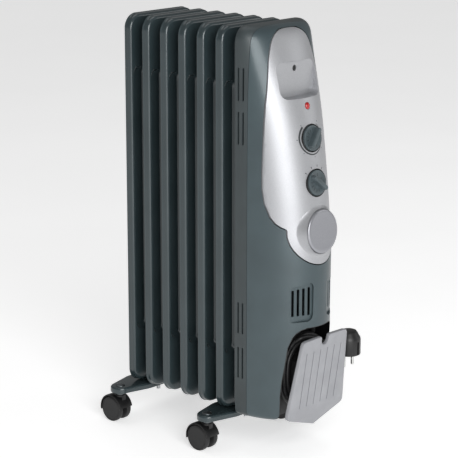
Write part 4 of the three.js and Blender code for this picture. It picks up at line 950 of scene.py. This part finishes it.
class HEATER_OT_controls(bpy.types.Operator):
    """The two knobs, the lamp and the round badge"""

    bl_idname = "heater.controls"
    bl_label = "Controls"
    bl_options = {"REGISTER", "UNDO"}

    def execute(self, context):
        self.knob("thermostat_turning_knob", THERMOSTAT_Z, 40, "thermostat_dial", "thermostat_knob")
        self.knob("selector_turning_knob", SELECTOR_Z, -50, "selector_dial", "selector_knob")
        lens = [(0, -2.3), (1.8, -2.1), (3.4, -1.5), (4.6, -0.5), (5, 0.4), (5, 13.6), (0, 13.6)]
        lamp = lathe("lamp_dome", lens, panel(LAMP_Z), 32)
        shade(lamp, 40)
        finished(lamp, BODY, ["lamp_lens"], finish("lamp"))
        self.badge()
        return {"FINISHED"}

    def knob(self, name, z, pointer, body, node):
        """A dial with a bar grip and a ring of ticks; pointer is its angle at rest."""
        place_at = panel(z)
        dial = [(0, -1.2), (14.2, -1.2), (15.2, -1.6), (16.6, -1.9), (17.9, -1.5), (18.4, -0.4),
                (18.4, 3.8), (3, 3.8), (3, 24), (0, 24)]
        disc = lathe("dial", dial, place_at, 72)
        turn = place_at @ Matrix.Rotation(math.radians(pointer - 90), 4, "Y")
        bar = [(-16.3, 0), (-15, -2.7), (-8, -3.3), (0, -3.5), (8, -3.3), (15, -2.7), (16.3, 0),
               (15, 2.7), (8, 3.3), (0, 3.5), (-8, 3.3), (-15, 2.7)]
        crown = [(1.6, -9.6), (0.7, -9.3), (0.2, -8.6), (0, -7.6), (-0.5, -0.8), (-0.5, 0)]
        grip = slab("grip", smooth_outline(bar, 4), crown, turn)
        combine(disc, [grip], "UNION")
        shade(disc, 35)
        disc.name = name
        finished(disc, body, [node], finish("knob"))
        ticks = []
        for i in range(11):
            angle = math.radians(-58 + 27 * i)
            if abs(math.sin(angle)) < 0.3 and math.cos(angle) < 0:
                continue
            spoke = turn @ Matrix.Rotation(-angle - math.pi / 2, 4, "Y") @ Matrix.Translation((11.2, 0, 0))
            ticks.append(slab("tick", rounded_rect(2.6, -0.5, 0.5, 0.4, 2), [(0, -1.34), (0, -1.0)], spoke))
        ticks = join(name.replace("knob", "ticks"), ticks)
        shade(ticks, 40)
        finished(ticks, body, [], finish("ink"))

    def badge(self):
        """The plain round disc and the collar it sits on."""
        at = panel(BADGE_Z, math.radians(6))
        face = [(0, -4.9), (20, -4.9), (26.5, -5.1), (29.4, -5.3), (31.0, -4.7), (31.9, -3.4),
                (32, -1.4), (31.6, -0.7), (5, -0.7), (5, 11), (0, 11)]
        disc = lathe("badge", face, at, 96)
        shade(disc, 35)
        disc.name = "round_badge"
        finished(disc, BODY, ["badge_disc"], finish("badge"))
        seat = self.badge_seat(at)
        shade(seat, 50)
        finished(seat, BODY, [], finish("silver"))

    def badge_seat(self, at):
        """The hollow-curved collar that falls from the badge's rim to the panel."""
        top_radius, foot_radius = 32.3, 40.5
        rings = []
        steps = 8
        for under in (0.0, 2.0):
            for i in range(steps + 1):
                t = i / steps if under == 0 else 1 - i / steps
                ring = []
                for k in range(96):
                    angle = 2 * math.pi * k / 96
                    inner = at @ Vector((top_radius * math.cos(angle), -2.2, top_radius * math.sin(angle)))
                    radius = top_radius + 8.2 * t
                    x, z = radius * math.cos(angle), BADGE_Z + radius * math.sin(angle)
                    rim = Vector((foot_radius * math.cos(angle), 0, BADGE_Z + foot_radius * math.sin(angle)))
                    rim.y = nose(rim.x, rim.z) + 0.3
                    ring.append((x, rim.y + (inner.y - rim.y) * (1 - t) ** 2 + under, z))
                rings.append(ring)
        rings.append(rings[0])
        return loft("badge_seat", rings, closed=False)


class HEATER_OT_winder(bpy.types.Operator):
    """The shield-shaped cord winder plate"""

    bl_idname = "heater.winder"
    bl_label = "Cord winder"
    bl_options = {"REGISTER", "UNDO"}

    def execute(self, context):
        tilt = Matrix.Rotation(math.radians(9), 4, "X")
        lean = Matrix.Translation((0, -100.9, 120)) @ tilt @ Matrix.Translation((0, 0, -120))
        edge = [(1.2, -3), (0.35, -2.65), (0, -1.8), (0, 1.8), (0.35, 2.65), (1.2, 3)]
        plate = slab("cord_winder_plate", plate_outline(), edge, lean)
        groove = slab("groove", rounded_rect(0.8, 82, 170, 0.7, 3), [(0, -5), (0, -2.3)],
                      lean @ Matrix.Translation((-38, 0, 0)))
        spread("Plate grooves", groove, 6, (15.2, 0, 0))
        combine(plate, [groove], "DIFFERENCE")
        shade(plate, 35)
        finished(plate, BODY, ["winder_plate"], finish("plate"))
        return {"FINISHED"}


def plate_outline():
    """A shield: narrow notched top, wide shoulders low down and a blunt point."""
    right = [(0, 47.8)]
    right += [(20, 54.6), (40, 61.4), (50, 64.8)]
    right += [(56.5, 67.0), (60.4, 69.6), (61.8, 74.0), (61.2, 82)]
    right += [(57.6, 110), (53.6, 145), (50.0, 176)]
    right += [(49.0, 184), (46.6, 187.8), (42, 189), (30, 189.3), (14, 189.6)]
    right += [(10, 189.5), (8.2, 188.2), (7.5, 186), (7.4, 183)]
    for degrees in (-20, -45, -70):
        angle = math.radians(degrees)
        right.append((7.4 * math.cos(angle), 183 + 7.4 * math.sin(angle)))
    right += [(0, 175.6)]
    left = [(-x, z) for x, z in reversed(right[1:-1])]
    return right + left


class HEATER_OT_feet(bpy.types.Operator):
    """The two pressed feet under the fins"""

    bl_idname = "heater.feet"
    bl_label = "Feet"
    bl_options = {"REGISTER", "UNDO"}

    def execute(self, context):
        for name, k in FOOT_FINS.items():
            y = k * FIN_PITCH - FOOT_AHEAD
            outline = foot_outline()
            sheet = 2.2
            levels = [(0, 48.8), (0, 54.6), (0.3, 55.9), (1.1, 56.9), (2.4, 57.4), (3.4, 57.5)]
            rings = [[(px, py + y, z) for px, py in offset(outline, inset)] for inset, z in levels]
            inner = [(inset + sheet, z - sheet) for inset, z in reversed(levels[1:])] + [(sheet, 48.8)]
            rings = rings + [[(px, py + y, z) for px, py in offset(outline, inset)] for inset, z in inner]
            foot = self.open_loft(rings, len(levels))
            foot.name = f"{name}_pressed_foot"
            shade(foot, 40)
            finished(foot, BODY, [f"{name}_foot"], finish("enamel"))
        return {"FINISHED"}

    def open_loft(self, rings, split):
        """Outer skin up and over, inner skin back down, closed round the rim."""
        around = len(rings[0])
        verts = [p for ring in rings for p in ring]
        faces = []
        order = list(range(len(rings)))
        for a, b in zip(order, order[1:] + [0]):
            if a == split - 1:  # the two skins' tops are filled on their own
                continue
            for i in range(around):
                j = (i + 1) % around
                faces.append((a * around + i, a * around + j, b * around + j, b * around + i))
        faces.append(tuple((split - 1) * around + i for i in range(around)))
        faces.append(tuple(split * around + i for i in range(around)))
        return build("foot", verts, faces)


def foot_outline():
    """The foot from above: a broad middle that tapers to round tips."""
    points = []
    tip, radius, half_middle = 90.0, 16.0, 26
    lean = math.degrees(math.asin((half_middle - radius) / (tip - 52)))
    for i in range(17):
        angle = math.radians(-90 + lean + (180 - 2 * lean) * i / 16)
        points.append((tip + radius * math.cos(angle), radius * math.sin(angle)))
    points += [(60, 24.2), (56, 25.4), (50, 26), (0, 26), (-50, 26), (-56, 25.4), (-60, 24.2)]
    for i in range(17):
        angle = math.radians(90 + lean + (180 - 2 * lean) * i / 16)
        points.append((-tip + radius * math.cos(angle), radius * math.sin(angle)))
    points += [(-60, -24.2), (-56, -25.4), (-50, -26), (0, -26), (50, -26), (56, -25.4), (60, -24.2)]
    return points


class HEATER_OT_casters(bpy.types.Operator):
    """Four twin-wheel swivel casters"""

    bl_idname = "heater.casters"
    bl_label = "Casters"
    bl_options = {"REGISTER", "UNDO"}

    def execute(self, context):
        for corner in CORNERS:
            end, side = corner.split("_")
            x = STEM_X * (-1 if side == "left" else 1)
            y = FOOT_FINS[end] * FIN_PITCH - FOOT_AHEAD
            self.hood(corner, x, y)
            self.stem(corner, x, y)
            outward = 1 if x > 0 else -1
            self.wheel(f"{corner}_outer_wheel", f"{corner}_outer", f"{corner}_wheel_outer", x, y, outward)
            self.wheel(f"{corner}_inner_wheel", f"{corner}_inner", f"{corner}_wheel_inner", x, y, -outward)
        return {"FINISHED"}

    def across(self, x, y):
        """The frame of a piece that is turned about the wheels' axle."""
        axle = Matrix.Translation((x, y + CASTER_TRAIL, AXLE_Z))
        return axle @ Matrix.Rotation(math.pi / 2, 4, "Z")

    def hood(self, corner, x, y):
        """The hood: a round cover over both wheels, cut open below, with a web and a stem socket."""
        across = self.across(x, y)
        outside = [(0, -13), (21.6, -13), (22.6, -12.4), (22.95, -11.2),
                   (22.95, 11.2), (22.6, 12.4), (21.6, 13), (0, 13)]
        hood = lathe("hood", outside, across, 72)
        axle_y = y + CASTER_TRAIL
        low = box("low", x - 40, x + 40, axle_y - 60, axle_y + 60, -60, AXLE_Z)
        centre = place((x, axle_y, AXLE_Z))
        tip = Matrix.Rotation(-math.radians(12), 4, "X")
        low.data.transform(Matrix.Translation(centre) @ tip @ Matrix.Translation(-centre))
        combine(hood, [low], "DIFFERENCE")
        web = lathe("web", [(0, -3.9), (8, -3.9), (8, 3.9), (0, 3.9)], across, 40)
        combine(hood, [web], "UNION")
        pockets = []
        for side in (-1, 1):
            ends = sorted((side * 4.0, side * 14.0))
            room = [(0, ends[0]), (20.8, ends[0]), (20.8, ends[1]), (0, ends[1])]
            pockets.append(lathe("pocket", room, across, 72))
        combine(hood, pockets, "DIFFERENCE")
        upright = Matrix.Translation((x, y, 0)) @ Matrix.Rotation(math.pi / 2, 4, "X")
        boss = lathe("boss", [(0, 40.8), (8.2, 40.8), (8.2, 43), (7.6, 43.8), (0, 43.8)], upright, 40)
        post = box("post", x - 3.95, x + 3.95, y - 8, y + 8, 26, 43)
        combine(hood, [boss, post], "UNION")
        socket = lathe("socket", [(0, 30), (3.8, 30), (3.8, 46), (0, 46)], upright, 24)
        bore = lathe("bore", [(0, -20), (3.3, -20), (3.3, 20), (0, 20)], across, 24)
        combine(hood, [socket, bore], "DIFFERENCE")
        shade(hood, 35)
        hood.name = f"{corner}_hood"
        finished(hood, f"{corner}_caster", [f"{corner}_caster_hood"], finish("black"))

    def stem(self, corner, x, y):
        """The stem: a pin with a collar below the foot and a low rivet head above it."""
        upright = Matrix.Translation((x, y, 0)) @ Matrix.Rotation(math.pi / 2, 4, "X")
        profile = [(0, 30.4), (3.5, 30.4), (3.5, 44.1), (6.6, 44.1), (6.6, 45.6), (5.4, 46.4), (5.2, 54.9),
                   (7.6, 55.3), (7.6, 57.6), (7.2, 58.4), (5.8, 59.3), (3.4, 59.9), (0, 60.1)]
        stem = lathe(f"{corner}_stem", profile, upright, 32)
        shade(stem, 35)
        finished(stem, BODY, [f"{corner}_caster_stem"], finish("zinc_dark"))

    def wheel(self, name, body, node, x, y, side):
        """One wheel with a rounded tread and a stepped outer face."""
        profile = [(3.4, 4.4), (18.2, 4.4), (19.0, 4.8), (19.4, 5.8), (19.58, 7.2), (19.58, 10.2),
                   (19.35, 11.6), (18.7, 12.6), (17.7, 12.92), (17.3, 12.92), (17.1, 12.5), (16.7, 12.5),
                   (16.5, 12.85), (9.0, 12.6), (1.2, 12.6), (0, 12.6), (0, 11.6), (3.4, 11.6)]
        # the axis of the turning matrix points along -X, so a positive side needs a negative offset
        turned = [(r, -side * a) for r, a in profile]
        wheel = ring_lathe(name, [(max(r, 0.01), a) for r, a in turned], self.across(x, y), 72)
        shade(wheel, 35)
        finished(wheel, body, [node], finish("wheel"))


class HEATER_OT_kept(bpy.types.Operator):
    """Finishes for the fastenings and inner pieces that keep their own shape"""

    bl_idname = "heater.kept"
    bl_label = "Kept pieces"
    bl_options = {"REGISTER", "UNDO"}

    def execute(self, context):
        finishes = {
            "heating_element": "zinc", "heat_shield": "shield", "fascia_screw": "black",
            "control_bracket": "zinc", "thermostat_body": "terminal", "selector_switch": "black",
            "terminal_block": "terminal", "thermal_cutout": "black", "wiring_loom": "sleeve",
            "winder_hub": "black", "cord_gland": "black",
            "plug_pin_left": "nickel", "plug_pin_right": "nickel",
            "front_u_bolt": "zinc", "rear_u_bolt": "zinc",
        }
        for corner in CORNERS:
            finishes[f"{corner}_wing_nut"] = "zinc"
            finishes[f"{corner}_caster_axle"] = "zinc"
        for node, key in finishes.items():
            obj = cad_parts[node]
            for holder in obj.material_slots:
                holder.material = finish(key)
            if not obj.material_slots:
                obj.data.materials.append(finish(key))
        return {"FINISHED"}


class HEATER_PT_pieces(bpy.types.Panel):
    """Lists the heater's sizes and pieces."""

    bl_idname = "HEATER_PT_pieces"
    bl_label = "Heater"
    bl_space_type = "VIEW_3D"
    bl_region_type = "UI"
    bl_category = "Heater"

    def draw(self, context):
        sizes = context.scene.heater_sizes
        for name in HeaterSizes.__annotations__:
            self.layout.prop(sizes, name)
        for piece in PIECES:
            self.layout.operator(piece.bl_idname)


PIECES = (
    HEATER_OT_stage,
    HEATER_OT_cord,
    HEATER_OT_fins,
    HEATER_OT_housing,
    HEATER_OT_fascia,
    HEATER_OT_controls,
    HEATER_OT_winder,
    HEATER_OT_feet,
    HEATER_OT_casters,
    HEATER_OT_kept,
)
CLASSES = (HeaterSizes, *PIECES, HEATER_PT_pieces)


def register():
    for cls in CLASSES:
        bpy.utils.register_class(cls)
    bpy.types.Scene.heater_sizes = bpy.props.PointerProperty(type=HeaterSizes)


def unregister():
    del bpy.types.Scene.heater_sizes
    for cls in reversed(CLASSES):
        bpy.utils.unregister_class(cls)


def main():
    register()
    for piece in PIECES:
        family, name = piece.bl_idname.split(".")
        getattr(getattr(bpy.ops, family), name)()


if __name__ == "__main__":
    main()
